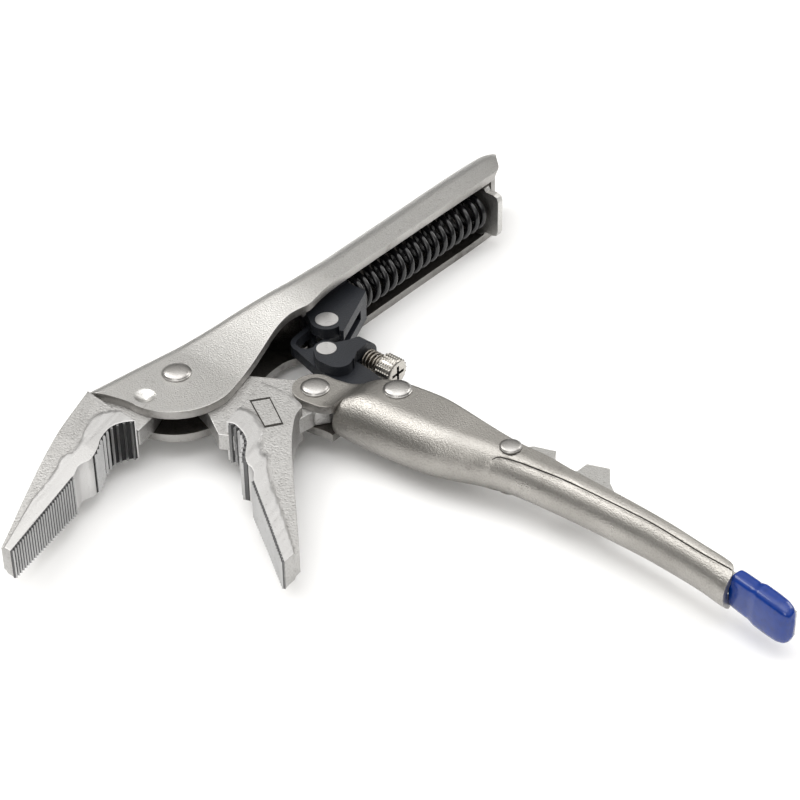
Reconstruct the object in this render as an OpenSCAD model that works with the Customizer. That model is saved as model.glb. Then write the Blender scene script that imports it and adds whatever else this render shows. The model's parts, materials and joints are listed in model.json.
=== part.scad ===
// Self-adjusting locking pliers with long serrated jaws, lying on their side, jaws open.
// Origin: axis of the main jaw pivot, on the mid plane of the tool.
// +X runs along the upper handle towards its rear end, +Y towards its spine,
// +Z is square to the plane in which the jaws swing.

/* [Overall] */
// Jaw pivot to the tip of the fixed jaw
nose_len = 84; // [72:0.5:104]
// Jaw pivot to the rear end of the upper handle
body_len = 141.5; // [132:0.5:172]
// Handle pivot to the end of the lower handle's sheet metal
grip_len = 133; // [122:0.5:162]

/* [Sheet metal] */
// Thickness of the pressed handles
plate_t = 2.5; // [2:0.05:3]
// Thickness of the jaws' tangs between the plates
tang_t = 5.3; // [4.5:0.1:6.4]
// Outside width of the upper handle's channel
channel_w = 23.2; // [20:0.1:28]
// Height of the spine above the channel's centre line
spine_h = 3; // [2:0.1:4]
// Depth of the channel's open edge below its centre line
edge_h = 10.9; // [9:0.1:12]
// Radius of the plates around the main jaw pivot
cheek_r = 17.7; // [16:0.1:19]
// Outside width of the lower handle at the link pivot
handle_w = 17.2; // [15.5:0.1:20]
// Outside width of the lower handle along the grip
grip_w = 13.4; // [12:0.1:16]

/* [Jaws] */
// Thickness of both jaws where the coarse teeth are
jaw_t = 13.2; // [11:0.1:15]
// Thickness of both jaws at their tips
tip_t = 9; // [7:0.1:11]
// Number of fine teeth on each jaw
fine_teeth = 26; // [16:1:32]
// Number of coarse teeth on each jaw
coarse_teeth = 9; // [6:1:12]
// Depth of the fine teeth
fine_depth = 0.5; // [0.3:0.05:0.8]
// Depth of the coarse teeth
coarse_depth = 0.9; // [0.5:0.05:1.2]
// Gap left between the jaw tips when they are shut
tip_gap = 0.4; // [0.2:0.1:1]

/* [Rivets and pins] */
// Diameter of the shank of the three large rivets
rivet_d = 6; // [5:0.1:6.6]
// Diameter of the head of the three large rivets
rivet_head_d = 8.5; // [7.6:0.1:9.5]
// Height of the domed rivet heads
rivet_head_h = 1.5; // [1:0.1:2]
// Diameter of the release lever's rivet head
small_head_d = 6.2; // [5.4:0.1:7]
// Diameter of the release lever's rivet shank
small_rivet_d = 3.4; // [2.8:0.1:4]
// Diameter of the slider pin's ends
slider_pin_d = 6.7; // [5.8:0.1:7.2]
// Diameter of the cam pin
cam_pin_d = 5.8; // [5:0.1:6.2]

/* [Self-adjusting gear] */
// Thickness of the slider and of the cam block
gear_t = 10; // [9:0.1:11]
// Thickness of the toggle link where it lies inside the slider and the cam block
link_t = 3.2; // [2.6:0.1:3.6]
// Length of the slider from its pin to the spring seat
slider_len = 17.8; // [15:0.1:21]
// Outside diameter of the main spring
spring_od = 11.8; // [10:0.1:12.6]
// Wire diameter of the main spring
spring_wire = 1.8; // [1.4:0.1:2.1]
// Number of free coils of the main spring
spring_coils = 15; // [12:1:17]
// Thickness of the plate that holds the rear end of the spring
anchor_t = 2.2; // [1.8:0.1:2.6]
// Diameter of the adjusting screw
screw_d = 3.5; // [3:0.1:4]
// Diameter of the adjusting screw's knurled head
screw_head_d = 8.8; // [7:0.1:9.4]
// Length of the adjusting screw's knurled head
screw_head_l = 5.6; // [4.5:0.1:6.5]

/* [Release lever] */
// Thickness of the release lever's sheet
lever_t = 1.2; // [1:0.1:1.5]
// Outside width of the release lever inside the grip
lever_w = 5.6; // [4.8:0.1:5.9]
// Length of the coated finger tip
tip_len = 20; // [17:0.5:23]
// Width of the coated finger tip
tip_w = 12.4; // [11:0.1:14]
// Thickness of the coated finger tip
tip_h = 6.4; // [5.5:0.1:7]

/* [Fits] */
// Radial running clearance of the pivots
run_gap = 0.05; // [0.02:0.01:0.1]
// Side clearance between parts that slide on each other
side_gap = 0.1; // [0.05:0.01:0.2]

/* [Hidden] */
$fn = 64;

// Pivots in the plane of motion, jaws open
P2 = [19.3, -34.6];          // lower handle on the moving jaw
P3 = [29.8, -55.7];          // toggle link in the lower handle
P4 = [31.4, -93.8];          // release lever in the lower handle
PA = [45.7, -15.7];          // slider pin
PB = [35.2, -24.8];          // cam pin in the toggle link
screw_x = 44;                // adjusting screw's axis, which runs along -Y
spring_y = -8.3;             // main spring's axis, which runs along +X

jaw_half = tang_t / 2 + side_gap;          // inner face of the plates at the jaws
cheek_w = jaw_half + plate_t;              // outer face of the plates at the jaws
ear_w = cheek_w;                           // outer face of the lower handle's ears
chan = channel_w / 2;
hand = handle_w / 2;
grip = grip_w / 2;
grip_end = P2[1] - grip_len;               // y of the end of the lower handle
shank_r = rivet_d / 2;
anchor_x = body_len - 17.9;                // front face of the spring's anchor plate
seat_x = PA[0] + slider_len;               // rear face of the slider, the spring's seat
slot_half = link_t / 2 + side_gap;         // half the slot that takes the toggle link
slot_start = PA + [0, 1.15];               // end of the link's slot, jaws open
slot_end = PA + [-8.6, 0.3];               // where the slider pin is half way
shut_angle = 48.5;                         // swing of the moving jaw from open to shut
tang_r = 7.6;                                // disc of the moving jaw around the main pivot
open_edge = 71.5;                          // front edge of the moving jaw's tang, past 180 degrees
stop_edge = 180 + 21.5;                    // face of the fixed jaw that this edge nearly meets, shut
nickel = [0.78, 0.76, 0.72];
steel = [0.72, 0.72, 0.73];
bright = [0.85, 0.85, 0.86];
black = [0.09, 0.09, 0.11];
blue = [0.05, 0.13, 0.5];

// ---------------------------------------------------------------- helpers

// A point at distance r and angle a about the main pivot
function polar(r, a) = [r * cos(a), r * sin(a)];

// Points of an arc in a plane
function arc(c, r, a0, a1, n) =
    [for (i = [0:n]) let (a = a0 + (a1 - a0) * i / n) c + r * [cos(a), sin(a)]];

// Saw-tooth edge from p to q, cut to the left of its direction
function teeth(p, q, n, depth) =
    let (d = (q - p) / n, u = [-d[1], d[0]] / norm(d))
    [for (i = [0:n - 1], k = [0:1]) k == 0 ? p + i * d : p + (i + 0.5) * d + depth * u];

// Saw-tooth edge on an arc through angles a0 to a1, cut towards its centre
function arc_teeth(c, r, a0, a1, n, depth) =
    [for (i = [0:2 * n]) let (a = a0 + (a1 - a0) * i / (2 * n))
        c + (r - (i % 2 == 1 ? depth : 0)) * [cos(a), sin(a)]];

// Solid between closed rings that all have the same number of points
module loft(rings) {
    m = len(rings[0]);
    n = len(rings);
    polyhedron(
        points = [for (r = rings, p = r) p],
        faces = concat(
            [[for (i = [0:m - 1]) i]],
            [[for (i = [0:m - 1]) n * m - 1 - i]],
            [for (k = [0:n - 2], i = [0:m - 1]) let (j = (i + 1) % m, a = k * m)
                [a + i, a + m + i, a + m + j]],
            [for (k = [0:n - 2], i = [0:m - 1]) let (j = (i + 1) % m, a = k * m)
                [a + i, a + m + j, a + j]]));
}

// Half section of a channel: spine at height s, half width w, corner radius r, open foot at f.
// Each point is [height, width].
function half_section(s, w, r, f) =
    concat([[f, w]], [for (i = [0:6]) let (a = 90 - 15 * i) [s - r + r * cos(a), w - r + r * sin(a)]]);

// Whole section, one side and then the other in reverse
function section(s, w, r, f) =
    let (h = half_section(s, w, r, f), n = len(h))
    concat([for (q = h) [q[0], -q[1]]], [for (i = [1:n]) h[n - i]]);

// Coil along +Z from 0 to length, with closed end coils
module coil(od, wire, length, free, sides = 6, steps = 14) {
    closed = 1.25;
    turns = free + 2 * closed;
    r = (od - wire) / 2;
    span = length - wire - 2 * closed * wire * 1.02;
    n = round(turns * steps);
    function rise(t) = t < closed ? t * wire * 1.02
        : t < closed + free ? closed * wire * 1.02 + (t - closed) * span / free
        : closed * wire * 1.02 + span + (t - closed - free) * wire * 1.02;
    loft([for (i = [0:n]) let (t = i * turns / n, a = 360 * t)
        [for (k = [0:sides - 1]) let (b = -360 * k / sides, q = r + wire / 2 * cos(b))
            [q * cos(a), q * sin(a), wire / 2 + rise(t) + wire / 2 * sin(b)]]]);
}

// Rivet along Z through the mid plane: shank to +-grip_z, low dome on both ends
module rivet(p, shank, head, head_h, grip_z) {
    rim = head_h / 3;
    dome = head_h - rim;
    ball = (head * head / 4 + dome * dome) / (2 * dome);
    cap = asin(head / 2 / ball);
    translate([p[0], p[1], 0]) rotate_extrude()
        polygon(concat(
            [[0, -grip_z - head_h]],
            [for (i = [1:6]) [ball * sin(cap * i / 6), -grip_z - rim + ball * cos(cap) - ball * cos(cap * i / 6)]],
            [[head / 2, -grip_z], [shank / 2, -grip_z], [shank / 2, grip_z], [head / 2, grip_z]],
            [for (i = [6:-1:1]) [ball * sin(cap * i / 6), grip_z + rim - ball * cos(cap) + ball * cos(cap * i / 6)]],
            [[0, grip_z + head_h]]));
}

// Through hole along Z
module bore(p, r, h = 60) {
    translate([p[0], p[1], -h / 2]) cylinder(r = r, h = h);
}

// Flat plate between two heights from the outline given as children
module slab(z0, z1) {
    translate([0, 0, z0]) linear_extrude(z1 - z0) children();
}

// ---------------------------------------------------------------- upper handle

// [x, spine height, half width, corner radius] along the upper handle
upper_run = [
    [-26, 15.4, cheek_w, 4.4], [-9, 13.4, cheek_w, 4.4], [6, 11.1, cheek_w, 4.4],
    [14, 9.9, cheek_w + 0.35, 4.6], [22, 8.7, cheek_w + 1.3, 5.1], [30, 7.4, cheek_w + 2.8, 5.8],
    [37, 6.1, chan - 2.1, 6.6], [43, 4.9, chan - 1, 7.2], [49, 3.9, chan - 0.35, 7.7],
    [56, spine_h + 0.3, chan, 8], [64, spine_h, chan, 8], [body_len - 26, spine_h, chan, 8],
    [body_len - 12, spine_h, chan - 0.7, 8], [body_len - 7, spine_h, chan - 1.1, 8],
    [body_len - 3.5, spine_h - 0.1, chan - 2.4, 7.6], [body_len - 1.2, spine_h - 0.5, chan - 4.4, 6.6],
    [body_len, spine_h - 1.4, chan - 6.6, 4.6]
];

function upper_ring(s, inset) =
    [for (q = section(s[1] - inset, s[2] - inset, max(s[3] - inset, 0.4), -40)) [s[0], q[0], q[1]]];

// Side view of the upper handle
module upper_outline() {
    circle(r = cheek_r);
    polygon([
        [-cheek_r - 4, 30], [-cheek_r - 4, 13.2], [-cheek_r - 2.2, 9.6], [-cheek_r, 1.6], [0, 0],
        [4.7, -cheek_r + 0.65], [10.4, -15.6], [16.7, -13.9], [23.5, -11.8], [30.5, -9.9], [36, -9.5],
        [39.5, -edge_h + 0.3], [42.4, -edge_h - 1.1], [46.4, -edge_h - 0.7], [50, -edge_h - 0.2],
        [62, -edge_h], [body_len - 12, -edge_h - 0.5], [body_len - 9, -edge_h + 0.5],
        [body_len - 5, -6.2], [body_len - 2, -2.4], [body_len + 2, 1.2], [body_len + 2, 30]
    ]);
}

module upper_handle() {
    // stop tabs bent inwards in front of the slider's shoe
    color(nickel) for (side = [-1, 1])
        translate([41.6, -10.2, side * (chan - 4.35) - 1.75]) cube([1.5, 3, 3.5]);
    color(nickel) difference() {
        intersection() {
            difference() {
                loft([for (s = upper_run) upper_ring(s, 0)]);
                loft([for (s = upper_run) let (q = s[0] < -20 ? [-40, s[1], s[2], s[3]] : s)
                    upper_ring([min(q[0], q[0] * (body_len - plate_t) / body_len + 0.5), q[1], q[2], q[3]], plate_t)]);
            }
            slab(-40, 40) upper_outline();
        }
        bore([0, 0], shank_r);
        // slots for the tenons of the spring's anchor plate
        translate([anchor_x, -11, -40]) cube([anchor_t, 5.5, 80]);
    }
}

// ---------------------------------------------------------------- fixed jaw

fixed_tip = polar(nose_len, -166.7);
fixed_fine_end = polar(51.9, -167.4);

// Side view of the fixed jaw's gripping part
module fixed_outline() {
    polygon(concat(
        teeth(fixed_tip, fixed_fine_end, fine_teeth, fine_depth),
        [fixed_fine_end, [-48.6, -9.7], [-46.7, -8.8], [-44.8, -9], [-43.2, -9.4]],
        arc_teeth([-30.5, -16.6], 14, 146, 88, coarse_teeth, -coarse_depth),
        [[-27.6, -3.6], [-25.6, -5.4], [-cheek_r - 4.2, 4], [-23.4, 12.6]],
        [[-29.7, 10.2], [-39, 6.6], [-49, 2.1], [-58.8, -3], [-68.6, -8.3],
         fixed_tip + [5.4, 5.9], fixed_tip + [1, 4], fixed_tip + [-0.3, 1.6]]));
}

// Wedge that thins the jaw towards its tip, seen from the gripping face
module fixed_wedge() {
    translate([0, 40, 0]) rotate([90, 0, 0]) linear_extrude(80)
        polygon([
            [-nose_len - 5, -tip_t / 2 + 0.3], [-46, -jaw_t / 2 + 0.6], [-28, -jaw_t / 2], [0, -jaw_t / 2],
            [0, jaw_t / 2], [-28, jaw_t / 2], [-46, jaw_t / 2 - 0.6], [-nose_len - 5, tip_t / 2 - 0.3]]);
}

module fixed_jaw() {
    color(steel) union() {
        intersection() {
            slab(-jaw_t, jaw_t) difference() {
                fixed_outline();
                // shoulder that follows the edge of the plates
                translate([0.8, 0]) scale([1.012, 1]) upper_front();
            }
            fixed_wedge();
        }
        // tang between the plates, with the crimped dimples' seats
        slab(-tang_t / 2 - side_gap, tang_t / 2 + side_gap)
            polygon([
                [-26.5, 9.6], [-24.5, 11], [-cheek_r - 3.2, 10.5], [-14, 9.4],
                polar(tang_r + 0.8, 140), polar(tang_r + 0.8, 160), polar(tang_r + 0.8, 180),
                polar(tang_r + 0.8, stop_edge), polar(17.6, stop_edge), [-23.7, -7.8],
                [-25.8, -5.4], [-30, -3.4]]);
    }
}

// Front edge of the plates, as seen by the fixed jaw
module upper_front() {
    polygon([
        [-cheek_r - 4.2, 30], [-cheek_r - 4.2, 13], [-cheek_r - 2.6, 9.6], [-cheek_r - 0.4, 1.6],
        [-cheek_r - 0.4, -4], [-16, -9], [-8, -17], [20, -10], [20, 30]]);
}

module jaw_rivet() {
    color(bright) rivet([0, 0], rivet_d, rivet_head_d, rivet_head_h, cheek_w);
}

// ---------------------------------------------------------------- spring and its anchor

module spring_anchor() {
    color(nickel) translate([anchor_x, 0, 0]) rotate([0, 90, 0]) linear_extrude(anchor_t)
        polygon([
            [-5.6, -17], [5.6, -17], [6.9, -16.5], [7.4, -15.2], [7.4, -12.2], [chan - plate_t - 0.7, -11.6],
            [chan - plate_t - 0.7, -10.6], [chan - 0.6, -10.6], [chan - 0.6, -6], [chan - plate_t - 0.7, -6],
            [chan - plate_t - 0.7, -4.4], [6.5, -2.4], [-6.5, -2.4], [-chan + plate_t + 0.7, -4.4],
            [-chan + plate_t + 0.7, -6], [-chan + 0.6, -6], [-chan + 0.6, -10.6], [-chan + plate_t + 0.7, -10.6],
            [-chan + plate_t + 0.7, -11.6], [-7.4, -12.2], [-7.4, -15.2], [-6.9, -16.5]]);
}

module main_spring() {
    color(black) translate([seat_x, spring_y, 0]) rotate([0, 90, 0])
        coil(spring_od, spring_wire, anchor_x - seat_x, spring_coils);
}

// ---------------------------------------------------------------- moving jaw

moving_tip = polar(nose_len, -166.7 + shut_angle + asin(tip_gap / nose_len));
moving_fine_end = polar(52.9, -114.4);

// Side view of the moving jaw
module moving_outline() {
    polygon(concat(
        [moving_tip + [1.4, -0.6], moving_tip + [4.4, -0.4], moving_tip + [6.6, 1.6]],
        [[-25.3, -67.9], [-18.2, -60.8], [-10.9, -53.4], [-2.4, -45.3], [4.2, -40.6]],
        arc([11.4, -47.2], 8.6, 136, 72, 4),
        [[17.6, -41.6]], arc(P2, 7, -80, 20, 5), [[26, -28], [20.5, -24.6], [17.5, -19.4], [13.9, -13.4]],
        arc([0, 0], tang_r, -30, 180 + open_edge, 14),
        [polar(18.8, 180 + open_edge), [-10.6, -25.6], [-9.4, -28]],
        arc_teeth([-21.8, -32.8], 13.2, 20, -38, coarse_teeth, -coarse_depth),
        [[-14.8, -40.2], [-16.3, -41.4], [-17.8, -42.6], [-18.4, -43.6], [-18.4, -45], [-19.5, -46.7],
         [-20.4, -47.7]],
        teeth(moving_fine_end, moving_tip, fine_teeth, fine_depth), [moving_tip]));
}

module moving_jaw() {
    color(steel) difference() {
        union() {
            slab(-tang_t / 2, tang_t / 2) moving_outline();
            // thick gripping part, sloping down to the tang around both pivots
            intersection() {
                slab(-jaw_t, jaw_t) moving_outline();
                moving_wedge();
                union() {
                    moving_pad();
                    mirror([0, 0, 1]) moving_pad();
                }
            }
        }
        bore([0, 0], shank_r + run_gap);
        bore(P2, shank_r + run_gap);
    }
}

// Raised part of one side of the moving jaw
module moving_pad() {
    root = [[-14, -24.6], [1.5, -21.5], [8, -29], [8.6, -40.5], [4.4, -44], [-28, -80], [-60, -84], [-40, -50]];
    crest = [[-14, -27.5], [-4, -28.5], [2.6, -33], [2.4, -43], [-28, -80], [-60, -84], [-40, -50]];
    hull() {
        slab(tang_t / 2 - 0.4, tang_t / 2) polygon(root);
        slab(jaw_t / 2, jaw_t / 2 + 0.1) polygon(crest);
    }
}

// Wedge that thins the jaw towards its tip
module moving_wedge() {
    rotate([0, 0, 242.4]) translate([0, 60, 0]) rotate([90, 0, 0]) linear_extrude(120)
        polygon([
            [-30, -jaw_t / 2], [32, -jaw_t / 2], [50, -jaw_t / 2 + 0.6], [nose_len + 5, -tip_t / 2 + 0.3],
            [nose_len + 5, tip_t / 2 - 0.3], [50, jaw_t / 2 - 0.6], [32, jaw_t / 2], [-30, jaw_t / 2]]);
}

// ---------------------------------------------------------------- lower handle

// [y, back of the spine, half width, corner radius] along the lower handle
lower_run = [
    [-20, 0, ear_w, 2.6], [-41.5, 0, ear_w, 2.6], [-44.49, 0, ear_w + 1.2, 2.6],
    [-44.5, 15, ear_w + 1.2, 5.6], [-48.5, 15.3, hand - 0.4, 7.8], [-52, 15.7, hand, 8.2],
    [-60, 16.2, hand, 8.4], [-67, 16.9, hand - 0.05, 8.4], [-75, 18.1, hand - 0.35, 8.1],
    [-82, 20.3, hand - 0.9, 7.6], [-89, 22.8, hand - 1.4, 7.1], [-96, 24.3, grip + 0.15, 6.8],
    [-105, 25.3, grip, grip - 0.1], [-125, 26.2, grip, grip - 0.1], [grip_end + 29, 26.3, grip, grip - 0.1],
    [grip_end + 17, 25.7, grip, grip - 0.1], [grip_end + 8, 24.8, grip, grip - 0.1], [grip_end, 23.6, grip, grip - 0.1]
];

function lower_ring(s, inset) =
    [for (q = section(-s[1] - inset, s[2] - inset, max(s[3] - inset, 0.4), -80)) [-q[0], s[0], -q[1]]];

// Side view of the lower handle
module lower_outline() {
    translate(P2) circle(r = 6.4);
    polygon([
        P2 + [-6.4, 0], [13.4, -39.2], [14.4, -42.8], [14.8, -44.5], [10, -44.5], [10, grip_end + 3], [22, grip_end],
        [27.6, grip_end], [29.6, grip_end + 1], [30.6, grip_end + 3], [31.6, grip_end + 11.5],
        [33.2, grip_end + 25], [34, grip_end + 40], [34.4, -112], [34.9, -104], [34.4, -94], [34.9, -79],
        [35.4, -69], [34.4, -60], [33.4, -54.6], [31.6, -49.6], [28.6, -45], [26.8, -40.5], P2 + [6.4, 0]]);
}

module lower_handle() {
    color(nickel) difference() {
        intersection() {
            difference() {
                loft([for (s = lower_run) lower_ring(s, 0)]);
                loft([for (s = lower_run)
                    lower_ring([s[0] == -20 ? -10 : s[0] == grip_end ? s[0] - 10 : s[0], s[1], s[2], s[3]], plate_t)]);
            }
            slab(-40, 40) lower_outline();
        }
        bore(P2, shank_r);
        bore(P3, shank_r);
        bore(P4, small_rivet_d / 2);
    }
}

module handle_rivet() {
    color(bright) rivet(P2, rivet_d, rivet_head_d, rivet_head_h, ear_w);
}

module link_rivet() {
    color(bright) rivet(P3, rivet_d, rivet_head_d, rivet_head_h, hand);
}

module lever_rivet() {
    color(bright) rivet(P4, small_rivet_d, small_head_d, rivet_head_h * 0.7, grip + 0.5);
}

// ---------------------------------------------------------------- release lever

tip_axis = 12;                                  // slope of the finger tip against the handle
tip_root = [29.4, grip_end - 2.2];              // where the coated tip starts

module lever_outline() {
    polygon([
        [28.4, -89], [30.4, -85.4], [33.4, -85.4], [35.6, -92], [39.6, -95.4], [41.8, -101.4], [38.2, -103.4],
        [36, -107.4], [38.6, -110.8], [42.6, -111], [44.9, -117], [40, -120.6], [34.6, -128],
        [33.6, grip_end + 25], [32, grip_end + 11.5], [31.6, grip_end - 1.5], [29.3, grip_end - 1.5],
        [29.9, grip_end + 11.5], [30.6, grip_end + 25], [30.7, -125], [30, -110], [28.8, -100]]);
}

// Flat tongue under the coating, at the end of the lever
module lever_tongue(grow = 0) {
    translate([tip_root[0] + 1.1, tip_root[1], 0]) rotate([0, 0, -tip_axis])
        translate([-lever_t - grow, -tip_len + 3 - grow, -tip_w / 2 + 2.2 - grow])
            cube([2 * lever_t + 2 * grow, tip_len - 1.2 + grow, tip_w - 4.4 + 2 * grow]);
}

module release_lever() {
    color(nickel) difference() {
        union() {
            for (side = [-1, 1])
                slab(side < 0 ? -lever_w / 2 : lever_w / 2 - lever_t, side < 0 ? -lever_w / 2 + lever_t : lever_w / 2)
                    lever_outline();
            // web that joins the two sides along the open edge of the grip
            slab(-lever_w / 2, lever_w / 2) polygon([
                [33, -129.6], [34.6, -128], [33.6, grip_end + 25], [32, grip_end + 11.5], [31.6, grip_end - 1.5],
                [29.3, grip_end - 1.5], [30.6, grip_end + 11.5], [32.2, grip_end + 25]]);
            // bent pads for the finger
            slab(-lever_w / 2, lever_w / 2) polygon([[38.6, -95.2], [39.6, -95.4], [41.8, -101.4], [40.8, -101.8]]);
            slab(-lever_w / 2, lever_w / 2) polygon([[41.5, -111.3], [42.6, -111], [44.9, -117], [43.8, -117.4]]);
            lever_tongue();
        }
        bore(P4, small_rivet_d / 2 + run_gap);
    }
}

// Rounded bar along -Y: narrow neck, then a wider end with round corners
module tip_profile(half, corner) {
    neck = half - 0.6;
    end = -tip_len + 1.2;
    polygon(concat(
        [[-neck, 1.2], [-neck - 0.1, -4.6], [-half, -6.4]],
        arc([-half + corner, end + corner], corner, 180, 270, 8),
        arc([half - corner, end + corner], corner, 270, 360, 8),
        [[half, -6.4], [neck + 0.1, -4.6], [neck, 1.2]]));
}

module lever_tip() {
    color(blue) difference() {
        translate([tip_root[0] + 1.1, tip_root[1], 0]) rotate([0, 0, -tip_axis]) intersection() {
            slab(-tip_w, tip_w) tip_profile(tip_h / 2, tip_h / 2 - 0.3);
            rotate([0, 90, 0]) slab(-tip_h, tip_h) tip_profile(tip_w / 2, 3);
        }
        lever_tongue(0.02);
        // room for the lever's two sides where they enter the coating
        slab(-lever_w / 2 - 0.02, lever_w / 2 + 0.02) polygon([
            [29.28, grip_end + 5], [29.28, grip_end - 1.52], [31.62, grip_end - 1.52], [32.4, grip_end + 5]]);
    }
}

module lever_spring() {
    coil_w = lever_w - 2 * lever_t - 0.4;
    color(steel) translate([P4[0], P4[1], -coil_w / 2])
        coil(small_rivet_d + 2.6, 0.7, coil_w, (coil_w - 0.7) / 0.8 - 2.5 < 0.5 ? 0.5 : (coil_w - 0.7) / 0.8 - 2.5, 6, 16);
}

// ---------------------------------------------------------------- toggle link and cam block

module toggle_link() {
    pin_r = 1.5;
    slot_r = pin_r + 1.45;
    color(black) difference() {
        union() {
            slab(-link_t / 2, link_t / 2) union() {
                hull() {
                    translate(slot_start) circle(r = slot_r + 1.6);
                    translate(slot_end) circle(r = slot_r + 1.6);
                }
                hull() {
                    translate(PB) circle(r = 5);
                    translate(slot_end) circle(r = slot_r + 1.4);
                }
                hull() {
                    translate(PB) circle(r = 5);
                    translate([33.6, -37.5]) circle(r = 5.2);
                }
                hull() {
                    translate([33.6, -37.5]) circle(r = 5.2);
                    translate(P3) circle(r = 5);
                }
            }
            // boss that fills the width of the handle
            translate([P3[0], P3[1], -hand + plate_t + side_gap]) cylinder(r = 4.7, h = 2 * (hand - plate_t - side_gap));
        }
        hull() {
            bore(slot_start, slot_r);
            bore(slot_end, slot_r);
        }
        bore(P3, shank_r + run_gap);
        bore(PB, cam_pin_d / 2 - 0.9);
    }
}

module cam_pin() {
    end_z = gear_t / 2 + 0.2;
    color(bright) union() {
        bore(PB, cam_pin_d / 2 - 0.9, 2 * end_z);
        for (side = [-1, 1]) translate([PB[0], PB[1], side * (slot_half + end_z) / 2])
            cylinder(r = cam_pin_d / 2, h = end_z - slot_half, center = true);
    }
}

boss_r = 4.6;
boss_back = -27.2;                 // end of the boss next to the slider
boss_front = -32;                // face of the boss that the small spring rests on
head_back = -38.2;                 // shoulder of the screw's head

module cam_block() {
    color(black) difference() {
        union() {
            for (side = [-1, 1])
                slab(side < 0 ? -gear_t / 2 : slot_half, side < 0 ? -slot_half : gear_t / 2) union() {
                    hull() {
                        translate(PB) circle(r = 3.7);
                        translate([33.6, -27.4]) circle(r = 4.1);
                        translate([33.8, -30.4]) circle(r = 4.1);
                    }
                    polygon([
                        PB + [0.5, 3.6], [38.7, -24.6], [42.4, boss_back + 0.3], [screw_x + 1.4, boss_back - 1],
                        [screw_x + 1, boss_front], [39.6, -32.4], [36.6, -34], [34, -28]]);
                }
            translate([screw_x, boss_back, 0]) rotate([90, 0, 0]) cylinder(r = boss_r, h = boss_back - boss_front);
        }
        bore(PB, cam_pin_d / 2 + run_gap);
        translate([screw_x, boss_back + 5, 0]) rotate([90, 0, 0]) cylinder(r = screw_d / 2 + run_gap, h = 30);
        // clearance for the toggle link's edge
        slab(-slot_half, slot_half) union() {
            translate(PB) circle(r = 5.6);
            translate([33.6, -37.5]) circle(r = 5.8);
            polygon([[30, -20], [40.6, -26], [40.6, -34], [30, -40]]);
        }
    }
}

module adjusting_screw() {
    slot_w = 0.9;
    color(bright) difference() {
        union() {
            translate([screw_x, boss_back + 1, 0]) rotate([90, 0, 0])
                cylinder(r = screw_d / 2, h = boss_back + 1 - head_back + 1);
            translate([screw_x, head_back, 0]) rotate([90, 0, 0])
                rotate_extrude() polygon([
                    [0, 0], [screw_head_d / 2 - 0.4, 0], [screw_head_d / 2, 0.4],
                    [screw_head_d / 2, screw_head_l - 0.5], [screw_head_d / 2 - 0.6, screw_head_l], [0, screw_head_l]]);
        }
        // cross recess
        for (turn = [0, 90])
            translate([screw_x, head_back - screw_head_l, 0]) rotate([0, turn, 0])
                cube([slot_w, 3.6, screw_head_d * 0.6], center = true);
    }
}

module screw_spring() {
    color(steel) translate([screw_x, boss_front, 0]) rotate([90, 0, 0])
        coil(screw_d + 1.9, 0.7, boss_front - head_back, 4, 6, 14);
}

// ---------------------------------------------------------------- slider

module slider_outline() {
    translate(PA) circle(r = 4.8);
    polygon([
        PA + [-4.5, 1.8], PA + [2.6, 13], [seat_x, PA[1] + 13], [seat_x, PA[1] + 0.4], [44.6, -23.1],
        [44.05, -22.1], [46.6, -19.4], PA + [0, -3]]);
}

module slider() {
    shoe_w = chan - plate_t - 0.35;
    color(black) difference() {
        union() {
            slab(-gear_t / 2, gear_t / 2) slider_outline();
            // shoe that the sides of the channel guide
            slab(-shoe_w, shoe_w) polygon([
                [PA[0] + 6, PA[1] + 7.8], [seat_x, PA[1] + 7.8], [seat_x, PA[1] + 10.6], [PA[0] + 6, PA[1] + 10.6]]);
        }
        bore(PA, slider_pin_d / 2);
        slab(-slot_half, slot_half) polygon([
            [20, -40], PA + [11, -14], PA + [13, -10], PA + [13, 6], PA + [2, 9.5], [20, PA[1] + 9.5]]);
    }
}

module slider_pin() {
    end_z = gear_t / 2 + 0.2;
    color(bright) union() {
        bore(PA, 1.5, 2 * end_z);
        for (side = [-1, 1]) translate([PA[0], PA[1], side * (slot_half + end_z) / 2])
            cylinder(r = slider_pin_d / 2, h = end_z - slot_half, center = true);
    }
}

upper_handle();
fixed_jaw();
jaw_rivet();
spring_anchor();
main_spring();
moving_jaw();
lower_handle();
handle_rivet();
link_rivet();
lever_rivet();
release_lever();
lever_tip();
lever_spring();
toggle_link();
cam_pin();
cam_block();
adjusting_screw();
screw_spring();
slider();
slider_pin();
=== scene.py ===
"""Looks of a pair of self-adjusting locking pliers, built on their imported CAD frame.

Every length in the tables below is in millimetres in the tool's own frame: the origin is on the
jaw pivot's axis, +X runs along the upper handle, +Y towards its spine and +Z across the tool.
"""
import json
import logging
import math
from dataclasses import dataclass, field
from enum import Enum
from typing import Callable, Sequence

import bmesh
import bpy
import numpy as np
from mathutils import Matrix, Vector

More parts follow.
